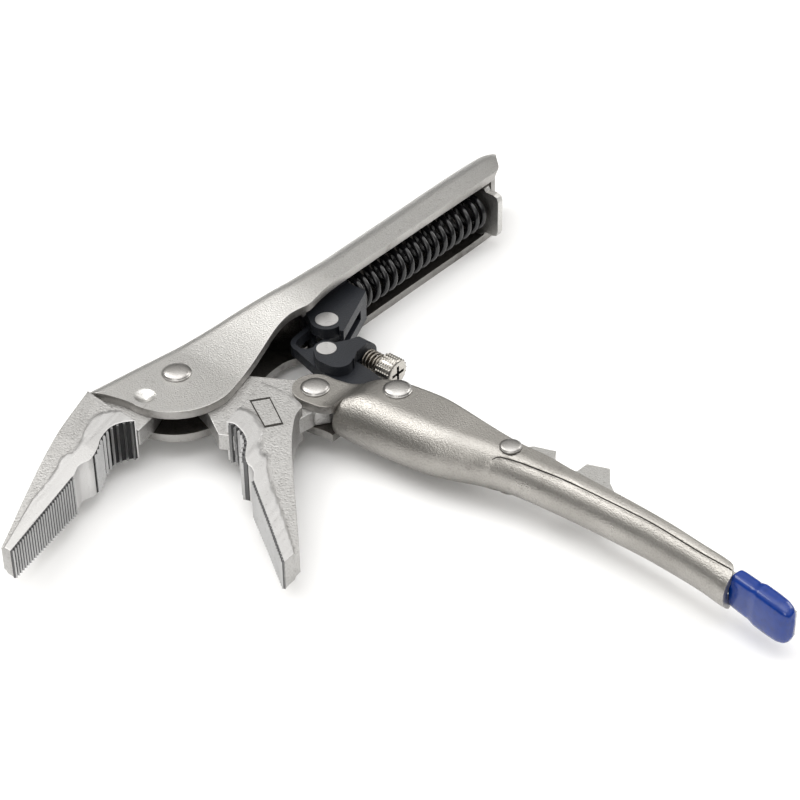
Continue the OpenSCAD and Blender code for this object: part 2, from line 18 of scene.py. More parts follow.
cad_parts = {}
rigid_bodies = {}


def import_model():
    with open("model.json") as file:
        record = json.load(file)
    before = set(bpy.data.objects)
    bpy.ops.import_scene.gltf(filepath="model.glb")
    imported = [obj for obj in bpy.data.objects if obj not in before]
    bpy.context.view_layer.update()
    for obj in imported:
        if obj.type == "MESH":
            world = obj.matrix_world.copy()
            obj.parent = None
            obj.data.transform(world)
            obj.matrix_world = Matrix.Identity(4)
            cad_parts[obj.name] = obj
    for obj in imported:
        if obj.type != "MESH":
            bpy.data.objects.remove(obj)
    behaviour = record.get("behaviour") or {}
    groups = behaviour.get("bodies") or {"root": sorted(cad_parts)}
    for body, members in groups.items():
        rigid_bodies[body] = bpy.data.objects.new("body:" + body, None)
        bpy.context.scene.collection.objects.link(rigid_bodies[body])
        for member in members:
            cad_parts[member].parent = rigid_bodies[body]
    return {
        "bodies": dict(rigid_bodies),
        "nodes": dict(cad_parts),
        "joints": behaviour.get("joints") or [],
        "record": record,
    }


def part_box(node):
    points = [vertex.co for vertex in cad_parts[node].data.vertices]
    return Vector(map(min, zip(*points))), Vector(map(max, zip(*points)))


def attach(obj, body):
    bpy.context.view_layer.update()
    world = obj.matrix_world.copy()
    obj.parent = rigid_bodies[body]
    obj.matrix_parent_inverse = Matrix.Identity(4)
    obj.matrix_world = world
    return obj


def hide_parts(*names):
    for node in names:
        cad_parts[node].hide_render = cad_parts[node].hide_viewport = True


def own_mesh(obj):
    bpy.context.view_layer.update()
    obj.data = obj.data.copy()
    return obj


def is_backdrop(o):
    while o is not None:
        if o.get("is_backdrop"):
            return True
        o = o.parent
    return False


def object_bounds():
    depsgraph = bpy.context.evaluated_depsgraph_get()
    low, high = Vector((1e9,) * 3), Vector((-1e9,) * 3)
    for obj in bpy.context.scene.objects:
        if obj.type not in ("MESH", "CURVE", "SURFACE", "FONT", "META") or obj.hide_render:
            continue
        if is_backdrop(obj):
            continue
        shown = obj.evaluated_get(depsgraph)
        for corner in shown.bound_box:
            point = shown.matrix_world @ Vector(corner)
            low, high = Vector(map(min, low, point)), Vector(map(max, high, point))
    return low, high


logging.basicConfig(level=logging.INFO, format="%(name)s: %(message)s")
LOG = logging.getLogger("pliers")

MM = 0.001
Point2 = tuple[float, float]
Ring = list[tuple[float, float, float]]

P1: Point2 = (0.0, 0.0)
P2: Point2 = (19.3, -34.6)
P3: Point2 = (29.8, -55.7)
P4: Point2 = (31.4, -93.8)
PLATE_T = 2.5
GRIP_END = -167.6
BODY_END = 141.5


class Slot(Enum):
    """Material slots named in the record."""

    PLATED = "plated_sheet"
    FORGED = "forged_steel"
    RIVET = "polished_rivet"
    BLACK_SPRING = "black_spring"
    BARE_SPRING = "bare_spring"
    OXIDE = "black_oxide"
    SCREW = "bright_screw"
    BLUE = "blue_coating"


class Shade(Enum):
    """How a mesh's faces are shaded."""

    SMOOTH = "smooth"
    FLAT = "flat"


# ------------------------------------------------------------------ shader node groups


def new_group(name: str, inputs: dict[str, tuple[str, float]], outputs: dict[str, str]) -> bpy.types.NodeTree:
    """Starts a shader node group with named sockets.

    Args:
        name: the group's name.
        inputs: socket name to its type and default.
        outputs: socket name to its type.

    Returns:
        The node tree, holding its input and output nodes.
    """
    tree = bpy.data.node_groups.new(name, "ShaderNodeTree")
    for label, (kind, default) in inputs.items():
        socket = tree.interface.new_socket(name=label, in_out="INPUT", socket_type=kind)
        socket.default_value = default
    for label, kind in outputs.items():
        tree.interface.new_socket(name=label, in_out="OUTPUT", socket_type=kind)
    tree.nodes.new("NodeGroupInput").name = "in"
    tree.nodes.new("NodeGroupOutput").name = "out"
    return tree


class Graph:
    """Short way to add and wire nodes of one tree."""

    def __init__(self, tree: bpy.types.NodeTree) -> None:
        self.tree = tree

    def add(self, kind: str, settings: dict | None = None, links: dict | None = None) -> bpy.types.Node:
        """Adds a node.

        Args:
            kind: the node's type name.
            settings: properties, or input defaults where the key is an input's name or number.
            links: input name or number to the socket that feeds it.

        Returns:
            The new node.
        """
        node = self.tree.nodes.new(kind)
        for key, value in (settings or {}).items():
            if isinstance(key, int) or key in node.inputs:
                node.inputs[key].default_value = value
            else:
                setattr(node, key, value)
        for key, socket in (links or {}).items():
            self.tree.links.new(socket, node.inputs[key])
        return node

    def math(self, op: str, a, b=None, clamp: bool = False):
        """Adds a math node on sockets or numbers and returns its output."""
        node = self.tree.nodes.new("ShaderNodeMath")
        node.operation = op
        node.use_clamp = clamp
        for i, value in enumerate((a, b)):
            if value is None:
                continue
            if isinstance(value, (int, float)):
                node.inputs[i].default_value = value
            else:
                self.tree.links.new(value, node.inputs[i])
        return node.outputs[0]


def ramp(graph: Graph, socket, low: float, high: float):
    """Maps low..high of a socket to 0..1, clamped."""
    node = graph.add("ShaderNodeMapRange", {"From Min": low, "From Max": high}, {"Value": socket})
    return node.outputs[0]


def grain_group() -> bpy.types.NodeTree:
    """Orange-peel grain of plated or cast metal: a height and a tone value."""
    tree = new_group(
        "grain",
        {"Size": ("NodeSocketFloat", 1200.0), "Amount": ("NodeSocketFloat", 0.3)},
        {"Height": "NodeSocketFloat", "Tone": "NodeSocketFloat"},
    )
    g = Graph(tree)
    src, out = tree.nodes["in"], tree.nodes["out"]
    coords = g.add("ShaderNodeTexCoord")
    fine = g.add("ShaderNodeTexNoise", {"Detail": 3.0, "Roughness": 0.6},
                 {"Vector": coords.outputs["Object"], "Scale": src.outputs["Size"]})
    pits = g.add("ShaderNodeTexVoronoi", {"feature": "F1"},
                 {"Vector": coords.outputs["Object"], "Scale": src.outputs["Size"]})
    both = g.math("ADD", fine.outputs[0],
        g.math("MULTIPLY", ramp(g, pits.outputs["Distance"], 0.1, 0.5), 0.35))
    height = g.math("MULTIPLY", both, src.outputs["Amount"])
    slow = g.add("ShaderNodeTexNoise", {"Scale": 60.0, "Detail": 4.0}, {"Vector": coords.outputs["Object"]})
    tree.links.new(height, out.inputs["Height"])
    tree.links.new(ramp(g, slow.outputs[0], 0.35, 0.65), out.inputs["Tone"])
    return tree


def scratch_group() -> bpy.types.NodeTree:
    """Fine parallel grinding lines across a direction, broken up along their length."""
    tree = new_group(
        "scratches",
        {"Angle": ("NodeSocketFloat", 0.0), "Density": ("NodeSocketFloat", 900.0)},
        {"Lines": "NodeSocketFloat"},
    )
    g = Graph(tree)
    src, out = tree.nodes["in"], tree.nodes["out"]
    coords = g.add("ShaderNodeTexCoord")
    turned = g.add("ShaderNodeVectorRotate", {"rotation_type": "Z_AXIS"},
                   {"Vector": coords.outputs["Object"], "Angle": src.outputs["Angle"]})
    flat = g.add("ShaderNodeVectorMath", {"operation": "MULTIPLY", 1: (1.0, 0.07, 0.25)},
        {0: turned.outputs[0]})
    lines = g.add("ShaderNodeTexNoise", {"Detail": 2.0, "Distortion": 0.15},
                  {"Vector": flat.outputs[0], "Scale": src.outputs["Density"]})
    tree.links.new(ramp(g, lines.outputs[0], 0.3, 0.7), out.inputs["Lines"])
    return tree


def stain_group() -> bpy.types.NodeTree:
    """Patchy mask for stains, dust and small marks."""
    tree = new_group(
        "stains",
        {"Size": ("NodeSocketFloat", 120.0), "Cover": ("NodeSocketFloat", 0.3)},
        {"Mask": "NodeSocketFloat", "Specks": "NodeSocketFloat"},
    )
    g = Graph(tree)
    src, out = tree.nodes["in"], tree.nodes["out"]
    coords = g.add("ShaderNodeTexCoord")
    slow = g.add("ShaderNodeTexNoise", {"Detail": 6.0, "Roughness": 0.65},
                 {"Vector": coords.outputs["Object"], "Scale": src.outputs["Size"]})
    edge = g.math("SUBTRACT", 0.75, g.math("MULTIPLY", src.outputs["Cover"], 0.5))
    mask = g.math("MULTIPLY", g.math("SUBTRACT", slow.outputs[0], edge), 9.0, clamp=True)
    spots = g.add("ShaderNodeTexNoise", {"Scale": 700.0, "Detail": 1.0}, {"Vector": coords.outputs["Object"]})
    tree.links.new(mask, out.inputs["Mask"])
    tree.links.new(ramp(g, spots.outputs[0], 0.68, 0.74), out.inputs["Specks"])
    return tree


# ------------------------------------------------------------------ finishes


@dataclass(frozen=True)
class Finish:
    """One procedural finish.

    Attributes:
        name: the material's name.
        base: its main colour.
        dark: the colour of its stains and tone patches.
        metallic: 1 for bare or plated metal.
        rough: the mean roughness.
        grain_size: cells a metre of the fine grain.
        grain: strength of the grain in the surface.
        lines: strength of the grinding lines in the surface.
        line_angle: direction of the lines, in degrees from the +Y axis.
        stain: how much of the surface its stains cover.
        tone: how far the tone patches darken the base.
        coat: weight of a clear coat.
    """

    name: str
    base: tuple[float, float, float]
    dark: tuple[float, float, float]
    metallic: float
    rough: float
    grain_size: float = 1200.0
    grain: float = 0.3
    lines: float = 0.0
    line_angle: float = 0.0
    stain: float = 0.1
    tone: float = 0.25
    coat: float = 0.0


NICKEL = Finish("nickel_plate", (0.62, 0.615, 0.60), (0.30, 0.285, 0.265), 1.0, 0.34, 2100.0, 1.0, 0.0, 0.0,
    0.2, 0.2)
# painted shade: a darker copy of the same nickel plating for the lower grip, standing in for the shade on its
# curved side
NICKEL_GRIP_SHADED = Finish("nickel_grip_shaded", (0.44, 0.425, 0.40), (0.18, 0.17, 0.155), 1.0, 0.31, 2100.0, 1.0, 0.0,
    0.0, 0.3, 0.25)
# painted shade: a near-black copy of the nickel plating for the inside faces of the channels and ears,
# standing in for the shade between the plates
NICKEL_INSIDE_SHADE = Finish("nickel_inside_shade", (0.14, 0.13, 0.12), (0.05, 0.045, 0.04), 1.0, 0.5, 1800.0, 0.8, 0.0,
    0.0, 0.5, 0.4)
CUT_EDGE = Finish("cut_edge", (0.44, 0.43, 0.415), (0.18, 0.17, 0.16), 1.0, 0.38, 1500.0, 0.8, 0.3, 80.0,
    0.4, 0.4)
FORGED = Finish("forged_steel", (0.56, 0.555, 0.545), (0.27, 0.26, 0.25), 1.0, 0.42, 1400.0, 1.3, 0.15,
    60.0, 0.25, 0.25)
GROUND = Finish("ground_steel", (0.64, 0.635, 0.63), (0.42, 0.41, 0.40), 1.0, 0.40, 1800.0, 0.4, 0.5, 75.0,
    0.1, 0.2)
TOOTH = Finish("tooth_steel", (0.52, 0.52, 0.52), (0.28, 0.28, 0.28), 1.0, 0.36, 1800.0, 0.5, 0.3, 90.0,
    0.2, 0.3)
# painted shade: near-black steel for the full tooth ridges, whose lighter crests sit on top, standing in for
# the shade in the grooves between teeth
TOOTH_FLANK_SHADE = Finish("tooth_flank_shade", (0.17, 0.17, 0.172), (0.08, 0.08, 0.082), 1.0, 0.5, 1600.0, 0.5, 0.3,
    90.0, 0.3, 0.4)
# painted shade: near-black steel for the blade's edge faces along the teeth, standing in for the shade in the
# tooth valleys
TOOTH_ROOT_SHADE = Finish("tooth_root_shade", (0.045, 0.045, 0.046), (0.02, 0.02, 0.02), 1.0, 0.6, 1500.0, 0.4, 0.2,
    90.0, 0.3, 0.4)
RIVET = Finish("polished_rivet", (0.50, 0.49, 0.475), (0.26, 0.25, 0.235), 1.0, 0.3, 2000.0, 0.4, 0.0, 0.0,
    0.2, 0.25)
PIN = Finish("pin_end", (0.66, 0.655, 0.65), (0.42, 0.41, 0.40), 1.0, 0.34, 1800.0, 0.4, 0.3, 40.0, 0.1, 0.15)
OXIDE = Finish("black_oxide", (0.020, 0.023, 0.030), (0.008, 0.009, 0.011), 0.25, 0.42, 1700.0, 0.9, 0.0,
    0.0, 0.3, 0.5)
SPRING_BLACK = Finish("black_wire", (0.006, 0.006, 0.007), (0.003, 0.003, 0.004), 0.0, 0.24, 800.0, 0.1,
    0.0, 0.0, 0.1, 0.3, 0.25)
SPRING_BARE = Finish("bare_wire", (0.30, 0.28, 0.25), (0.12, 0.10, 0.08), 1.0, 0.3, 900.0, 0.15, 0.0, 0.0,
    0.3, 0.4)
SCREW = Finish("screw_steel", (0.60, 0.58, 0.54), (0.30, 0.27, 0.23), 1.0, 0.26, 1500.0, 0.3, 0.0, 0.0, 0.2,
    0.3)
THREAD = Finish("thread_bronze", (0.26, 0.21, 0.15), (0.10, 0.08, 0.06), 1.0, 0.34, 1100.0, 0.2, 0.0, 0.0,
    0.4, 0.4)
# painted shade: near-black for the screw's cross recess, the line along the grip's step and the border of the
# jaw's panel, standing in for the shade in these hollows
RECESS_SHADE = Finish("recess", (0.05, 0.045, 0.04), (0.02, 0.02, 0.02), 0.6, 0.6, 900.0, 0.3, 0.0, 0.0, 0.4, 0.4)
BLUE = Finish("blue_vinyl", (0.001, 0.034, 0.25), (0.001, 0.022, 0.15), 0.0, 0.2, 500.0, 0.1, 0.0, 0.0, 0.1,
    0.2, 0.3)


class Paintbox:
    """Builds each finish once and hands out its material."""

    def __init__(self) -> None:
        self.grain = grain_group()
        self.scratches = scratch_group()
        self.stains = stain_group()
        self.made: dict[str, bpy.types.Material] = {}

    def get(self, finish: Finish) -> bpy.types.Material:
        """Returns the material of a finish, making it the first time."""
        if finish.name not in self.made:
            self.made[finish.name] = self._build(finish)
        return self.made[finish.name]

    def _build(self, f: Finish) -> bpy.types.Material:
        mat = bpy.data.materials.new(f.name)
        mat.use_nodes = True
        mat.diffuse_color = (*f.base, 1.0)
        tree = mat.node_tree
        tree.nodes.clear()
        g = Graph(tree)
        out = g.add("ShaderNodeOutputMaterial")
        bsdf = g.add("ShaderNodeBsdfPrincipled",
            {"Metallic": f.metallic, "Coat Weight": f.coat, "Coat Roughness": 0.08})
        grain = g.add("ShaderNodeGroup", {"node_tree": self.grain})
        grain.inputs["Size"].default_value = f.grain_size
        grain.inputs["Amount"].default_value = f.grain
        stain = g.add("ShaderNodeGroup", {"node_tree": self.stains})
        stain.inputs["Cover"].default_value = f.stain
        tone = g.math("MULTIPLY", grain.outputs["Tone"], f.tone)
        marks = g.math("MAXIMUM", stain.outputs["Mask"], g.math("MULTIPLY", stain.outputs["Specks"], 0.5))
        share = g.math("MAXIMUM", tone, g.math("MULTIPLY", marks, 0.75), clamp=True)
        colour = g.add("ShaderNodeMix", {"data_type": "RGBA", "blend_type": "MIX"})
        colour.inputs[6].default_value = (*f.base, 1.0)
        colour.inputs[7].default_value = (*f.dark, 1.0)
        tree.links.new(share, colour.inputs[0])
        rough = g.math("ADD", g.math("MULTIPLY", grain.outputs["Tone"], 0.08), f.rough - 0.04)
        height = grain.outputs["Height"]
        if f.lines > 0.0:
            lines = g.add("ShaderNodeGroup", {"node_tree": self.scratches})
            lines.inputs["Angle"].default_value = math.radians(f.line_angle)
            height = g.math("ADD", height, g.math("MULTIPLY", lines.outputs["Lines"], f.lines))
            rough = g.math("ADD", rough, g.math("MULTIPLY", lines.outputs["Lines"], 0.1))
        # painted shade: the colour is multiplied by (0.66, 0.65, 0.64) where the grain and line height is
        # low, shade painted into the hollows of the grain
        pit_shade = ramp(g, height, 0.2 * f.grain, 0.95 * f.grain + 0.01)
        pit_shaded_colour = g.add("ShaderNodeMix", {"data_type": "RGBA", "blend_type": "MULTIPLY"},
            {0: g.math("SUBTRACT", 1.0, pit_shade)})
        tree.links.new(colour.outputs[2], pit_shaded_colour.inputs[6])
        pit_shaded_colour.inputs[7].default_value = (0.66, 0.65, 0.64, 1.0)
        bump = g.add("ShaderNodeBump", {"Strength": 0.5, "Distance": 0.00022}, {"Height": height})
        tree.links.new(pit_shaded_colour.outputs[2], bsdf.inputs["Base Color"])
        tree.links.new(rough, bsdf.inputs["Roughness"])
        tree.links.new(bump.outputs[0], bsdf.inputs["Normal"])
        tree.links.new(bsdf.outputs[0], out.inputs[0])
        return mat


# ------------------------------------------------------------------ mesh helpers


def curve(table: Sequence[Point2]) -> Callable[[float], float]:
    """Smooth curve through a table of (position, value) rows, level beyond its ends."""
    rows = sorted(table)
    xs = np.array([r[0] for r in rows], float)
    ys = np.array([r[1] for r in rows], float)
    steps = np.diff(ys) / np.diff(xs)
    slopes = np.zeros(len(xs))
    for i in range(1, len(xs) - 1):
        a, b = steps[i - 1], steps[i]
        slopes[i] = 0.0 if a * b <= 0 else 2 * a * b / (a + b)

    def value(x: float) -> float:
        if x <= xs[0]:
            return float(ys[0])
        if x >= xs[-1]:
            return float(ys[-1])
        i = int(np.searchsorted(xs, x)) - 1
        h = xs[i + 1] - xs[i]
        t = (x - xs[i]) / h
        return float(
            (2 * t**3 - 3 * t**2 + 1) * ys[i] + (t**3 - 2 * t**2 + t) * h * slopes[i]
            + (3 * t**2 - 2 * t**3) * ys[i + 1] + (t**3 - t**2) * h * slopes[i + 1]
        )

    return value


def resample(points: Sequence[Point2], count: int) -> np.ndarray:
    """Points spaced evenly along a broken line."""
    pts = np.array(points, float)
    run = np.concatenate([[0.0], np.cumsum(np.linalg.norm(np.diff(pts, axis=0), axis=1))])
    at = np.linspace(0.0, run[-1], count)
    return np.stack([np.interp(at, run, pts[:, 0]), np.interp(at, run, pts[:, 1])], axis=1)


def soften(points: Sequence[Point2], rounds: int = 2) -> list[Point2]:
    """Cuts the corners of a broken line, keeping its ends."""
    pts = [tuple(p) for p in points]
    for _ in range(rounds):
        out = [pts[0]]
        for a, b in zip(pts, pts[1:]):
            out.append((0.75 * a[0] + 0.25 * b[0], 0.75 * a[1] + 0.25 * b[1]))
            out.append((0.25 * a[0] + 0.75 * b[0], 0.25 * a[1] + 0.75 * b[1]))
        out.append(pts[-1])
        pts = out
    return pts


def mesh_object(
    name: str,
    verts: Sequence[Sequence[float]],
    faces: Sequence[Sequence[int]],
    materials: Sequence[bpy.types.Material],
    indices: Sequence[int] | None = None,
    shade: Shade = Shade.SMOOTH,
) -> bpy.types.Object:
    """Makes a mesh object at the origin from points in millimetres, normals outwards."""
    mesh = bpy.data.meshes.new(name)
    mesh.from_pydata([[c * MM for c in v] for v in verts], [], faces)
    for mat in materials:
        mesh.materials.append(mat)
    if indices is not None:
        mesh.polygons.foreach_set("material_index", indices)
    bm = bmesh.new()
    bm.from_mesh(mesh)
    bmesh.ops.remove_doubles(bm, verts=bm.verts, dist=1e-6)
    bmesh.ops.recalc_face_normals(bm, faces=bm.faces)
    bm.to_mesh(mesh)
    bm.free()
    mesh.polygons.foreach_set("use_smooth", [shade is Shade.SMOOTH] * len(mesh.polygons))
    obj = bpy.data.objects.new(name, mesh)
    bpy.context.scene.collection.objects.link(obj)
    return obj


def bevel(obj: bpy.types.Object, width: float, angle: float = 35.0, segments: int = 2) -> None:
    """Rounds an object's edges sharper than an angle by a width in millimetres."""
    mod = obj.modifiers.new("rounding", "BEVEL")
    mod.width = width * MM
    mod.segments = segments
    mod.limit_method = "ANGLE"
    mod.angle_limit = math.radians(angle)
    mod.harden_normals = False
    mod.use_clamp_overlap = True


def shell(
    name: str,
    outer: Sequence[Ring],
    inner: Sequence[Ring],
    skin: bpy.types.Material,
    inside: bpy.types.Material,
    edge: bpy.types.Material,
) -> bpy.types.Object:
    """Closed sheet between two matching grids of points: skin outside, inside and cut edges."""
    n, m = len(outer), len(outer[0])
    verts = [p for ring in outer for p in ring] + [p for ring in inner for p in ring]
    off = n * m
    faces: list[tuple[int, ...]] = []
    index: list[int] = []
    for i in range(n - 1):
        for j in range(m - 1):
            a = i * m + j
            faces.append((a, a + 1, a + m + 1, a + m))
            index.append(0)
            faces.append((off + a, off + a + m, off + a + m + 1, off + a + 1))
            index.append(1)
        for j in (0, m - 1):
            a = i * m + j
            faces.append((a, a + m, off + a + m, off + a))
            index.append(2)
    for i in (0, n - 1):
        for j in range(m - 1):
            a = i * m + j
            faces.append((a, a + 1, off + a + 1, off + a))
            index.append(2)
    return mesh_object(name, verts, faces, [skin, inside, edge], index)


def lathe(name: str, profile: Sequence[Point2], at: Point2, mat: bpy.types.Material,
    steps: int = 72) -> bpy.types.Object:
    """Turns a profile of (radius, height) rows about a Z axis through a point."""
    verts: list[tuple[float, float, float]] = []
    faces: list[tuple[int, ...]] = []
    rows = len(profile)
    for k in range(steps):
        a = 2 * math.pi * k / steps
        verts += [(at[0] + r * math.cos(a), at[1] + r * math.sin(a), h) for r, h in profile]
    for k in range(steps):
        nxt = (k + 1) % steps
        faces += [(k * rows + i, nxt * rows + i, nxt * rows + i + 1, k * rows + i + 1)
            for i in range(rows - 1)]
    return mesh_object(name, verts, faces, [mat])


def seam(name: str, path: Sequence[tuple[float, float, float]], radius: float,
    mat: bpy.types.Material) -> bpy.types.Object:
    """Thin six-sided line laid along a path that runs mostly along Y."""
    sides = 6
    verts = []
    for x, y, z in path:
        for k in range(sides):
            q = 2 * math.pi * k / sides
            verts.append((x + radius * math.cos(q), y, z + radius * math.sin(q)))
    n = len(path)
    faces: list[tuple[int, ...]] = [
        (i * sides + k, i * sides + (k + 1) % sides, (i + 1) * sides + (k + 1) % sides, (i + 1) * sides + k)
        for i in range(n - 1) for k in range(sides)]
    faces += [tuple(range(sides)), tuple(range((n - 1) * sides, n * sides))]
    return mesh_object(name, verts, faces, [mat])


def cut_cross(obj: bpy.types.Object, length: float, width: float, depth: float) -> bpy.types.Object:
    """Cuts a cross recess into the low end of a turned piece and returns the plain mesh object."""
    tools = []
    for sx, sy in ((length / 2, width / 2), (width / 2, length / 2)):
        tool = box_piece("recess_tool", (-sx, -sy, -1.0), (sx, sy, depth), obj.data.materials[1])
        mod = obj.modifiers.new("recess", "BOOLEAN")
        mod.operation, mod.object, mod.solver = "DIFFERENCE", tool, "EXACT"
        mod.material_mode = "TRANSFER"
        tools.append(tool)
    bpy.context.view_layer.update()
    made = bpy.data.meshes.new_from_object(obj.evaluated_get(bpy.context.evaluated_depsgraph_get()))
    name = obj.name
    for old in (obj, *tools):
        bpy.data.objects.remove(old)
    made.name = name
    fresh = bpy.data.objects.new(name, made)
    bpy.context.scene.collection.objects.link(fresh)
    shade_by_angle(fresh, 40.0)
    return fresh


def shade_by_angle(obj: bpy.types.Object, degrees: float) -> None:
    """Shades smooth except across edges sharper than an angle."""
    mesh = obj.data
    bm = bmesh.new()
    bm.from_mesh(mesh)
    limit = math.radians(degrees)
    for edge in bm.edges:
        edge.smooth = len(edge.link_faces) == 2 and edge.calc_face_angle(0.0) < limit
    for face in bm.faces:
        face.smooth = True
    bm.to_mesh(mesh)
    bm.free()


def box_piece(name: str, lo: Sequence[float], hi: Sequence[float],
    mat: bpy.types.Material) -> bpy.types.Object:
    """Plain block between two corners, in millimetres."""
    verts = [(x, y, z) for x in (lo[0], hi[0]) for y in (lo[1], hi[1]) for z in (lo[2], hi[2])]
    faces = [(0, 1, 3, 2), (4, 6, 7, 5), (0, 4, 5, 1), (2, 3, 7, 6), (0, 2, 6, 4), (1, 5, 7, 3)]
    return mesh_object(name, verts, faces, [mat], shade=Shade.FLAT)


# ------------------------------------------------------------------ geometry node groups


def geometry_group(name: str, sockets: Sequence[tuple[str, str]]) -> tuple[bpy.types.NodeTree, Graph]:
    """Starts a geometry node group with a geometry input and output and named inputs."""
    tree = bpy.data.node_groups.new(name, "GeometryNodeTree")
    tree.interface.new_socket(name="Geometry", in_out="INPUT", socket_type="NodeSocketGeometry")
    for label, kind in sockets:
        tree.interface.new_socket(name=label, in_out="INPUT", socket_type=kind)
    tree.interface.new_socket(name="Geometry", in_out="OUTPUT", socket_type="NodeSocketGeometry")
    tree.nodes.new("NodeGroupInput").name = "in"
    tree.nodes.new("NodeGroupOutput").name = "out"
    return tree, Graph(tree)


def finish_geometry(tree: bpy.types.NodeTree, g: Graph, geometry) -> None:
    """Ends a group with real geometry and its material."""
    real = g.add("GeometryNodeRealizeInstances", links={"Geometry": geometry})
    mat = g.add("GeometryNodeSetMaterial",
        links={"Geometry": real.outputs[0], "Material": tree.nodes["in"].outputs["Material"]})
    tree.links.new(mat.outputs[0], tree.nodes["out"].inputs["Geometry"])


def ridge_group() -> bpy.types.NodeTree:
    """Row of three-sided ridges along the object's own line, square to the plane of the line."""
    tree, g = geometry_group("ridge_row", [
        ("Count", "NodeSocketInt"), ("Radius", "NodeSocketFloat"), ("Length A", "NodeSocketFloat"),
        ("Length B", "NodeSocketFloat"), ("Turn", "NodeSocketFloat"), ("Material", "NodeSocketMaterial")])
    src = tree.nodes["in"]
    line = g.add("GeometryNodeMeshToCurve", links={0: src.outputs["Geometry"]})
    even = g.add("GeometryNodeResampleCurve", links={"Curve": line.outputs[0], "Count": src.outputs["Count"]})
    prism = g.add("GeometryNodeMeshCylinder", {"Vertices": 3, "Depth": 1.0},
        {"Radius": src.outputs["Radius"]})
    spin = g.add("ShaderNodeCombineXYZ", links={"Z": src.outputs["Turn"]})
    turned = g.add("GeometryNodeTransform", links={"Geometry": prism.outputs[0], "Rotation": spin.outputs[0]})
    tangent = g.add("GeometryNodeInputTangent")
    aligned = g.add("FunctionNodeAlignRotationToVector", {"axis": "X", "pivot_axis": "Z"},
        {"Vector": tangent.outputs[0]})
    along = g.add("GeometryNodeSplineParameter")
    size = g.add("ShaderNodeMapRange", links={
        "Value": along.outputs["Factor"], "To Min": src.outputs["Length A"],
        "To Max": src.outputs["Length B"]})
    scale = g.add("ShaderNodeCombineXYZ", {"X": 1.0, "Y": 1.0}, {"Z": size.outputs[0]})
    placed = g.add("GeometryNodeInstanceOnPoints", links={
        "Points": even.outputs[0], "Instance": turned.outputs[0], "Rotation": aligned.outputs[0],
        "Scale": scale.outputs[0]})
    finish_geometry(tree, g, placed.outputs[0])
    return tree


def coil_group() -> bpy.types.NodeTree:
    """Compression spring along +Z from zero: one closed turn, free turns, one closed turn."""
    tree, g = geometry_group("coil_spring", [
        ("Radius", "NodeSocketFloat"), ("Wire", "NodeSocketFloat"), ("Length", "NodeSocketFloat"),
        ("Turns", "NodeSocketFloat"), ("Material", "NodeSocketMaterial")])
    src = tree.nodes["in"]
    wire = src.outputs["Wire"]
    free = g.math("SUBTRACT", src.outputs["Length"], g.math("MULTIPLY", wire, 3.0))
    profile = g.add("GeometryNodeCurvePrimitiveCircle", {"Resolution": 14},
        {"Radius": g.math("MULTIPLY", wire, 0.5)})
    join = g.add("GeometryNodeJoinGeometry")
    starts = (g.math("MULTIPLY", wire, 0.5), g.math("MULTIPLY", wire, 1.5),
              g.math("SUBTRACT", src.outputs["Length"], g.math("MULTIPLY", wire, 1.5)))
    for k, start in enumerate(starts):
        spiral = g.add("GeometryNodeCurveSpiral", {"Resolution": 40, "Rotations": 1.0}, {
            "Start Radius": src.outputs["Radius"], "End Radius": src.outputs["Radius"],
            "Height": free if k == 1 else wire})
        if k == 1:
            tree.links.new(src.outputs["Turns"], spiral.inputs["Rotations"])
        shift = g.add("ShaderNodeCombineXYZ", links={"Z": start})
        moved = g.add("GeometryNodeTransform",
            links={"Geometry": spiral.outputs[0], "Translation": shift.outputs[0]})
        tube = g.add("GeometryNodeCurveToMesh", {"Fill Caps": True},
            {"Curve": moved.outputs[0], "Profile Curve": profile.outputs[0]})
        tree.links.new(tube.outputs[0], join.inputs[0])
    smooth = g.add("GeometryNodeSetShadeSmooth", links={0: join.outputs[0]})
    finish_geometry(tree, g, smooth.outputs[0])
    return tree


def knurl_group() -> bpy.types.NodeTree:
    """Diamond knurling: small pyramids all round a cylinder along Z, centred at zero."""
    tree, g = geometry_group("knurling", [
        ("Round", "NodeSocketInt"), ("Rows", "NodeSocketInt"), ("Radius", "NodeSocketFloat"),
        ("Length", "NodeSocketFloat"), ("Size", "NodeSocketFloat"), ("Material", "NodeSocketMaterial")])
    src = tree.nodes["in"]
    drum = g.add("GeometryNodeMeshCylinder", {"fill_type": "NONE"}, {
        "Vertices": src.outputs["Round"], "Side Segments": src.outputs["Rows"],
        "Radius": src.outputs["Radius"], "Depth": src.outputs["Length"]})
    cone = g.add("GeometryNodeMeshCone", {"Vertices": 4, "Radius Top": 0.0}, {
        "Radius Bottom": src.outputs["Size"], "Depth": g.math("MULTIPLY", src.outputs["Size"], 0.55)})
    place = g.add("GeometryNodeInputPosition")
    parts = g.add("ShaderNodeSeparateXYZ", links={0: place.outputs[0]})
    away = g.add("ShaderNodeCombineXYZ", links={"X": parts.outputs[0], "Y": parts.outputs[1]})
    aligned = g.add("FunctionNodeAlignRotationToVector", {"axis": "Z", "pivot_axis": "AUTO"},
        {"Vector": away.outputs[0]})
    placed = g.add("GeometryNodeInstanceOnPoints", links={
        "Points": drum.outputs[0], "Instance": cone.outputs[0], "Rotation": aligned.outputs[0]})
    finish_geometry(tree, g, placed.outputs[0])
    return tree


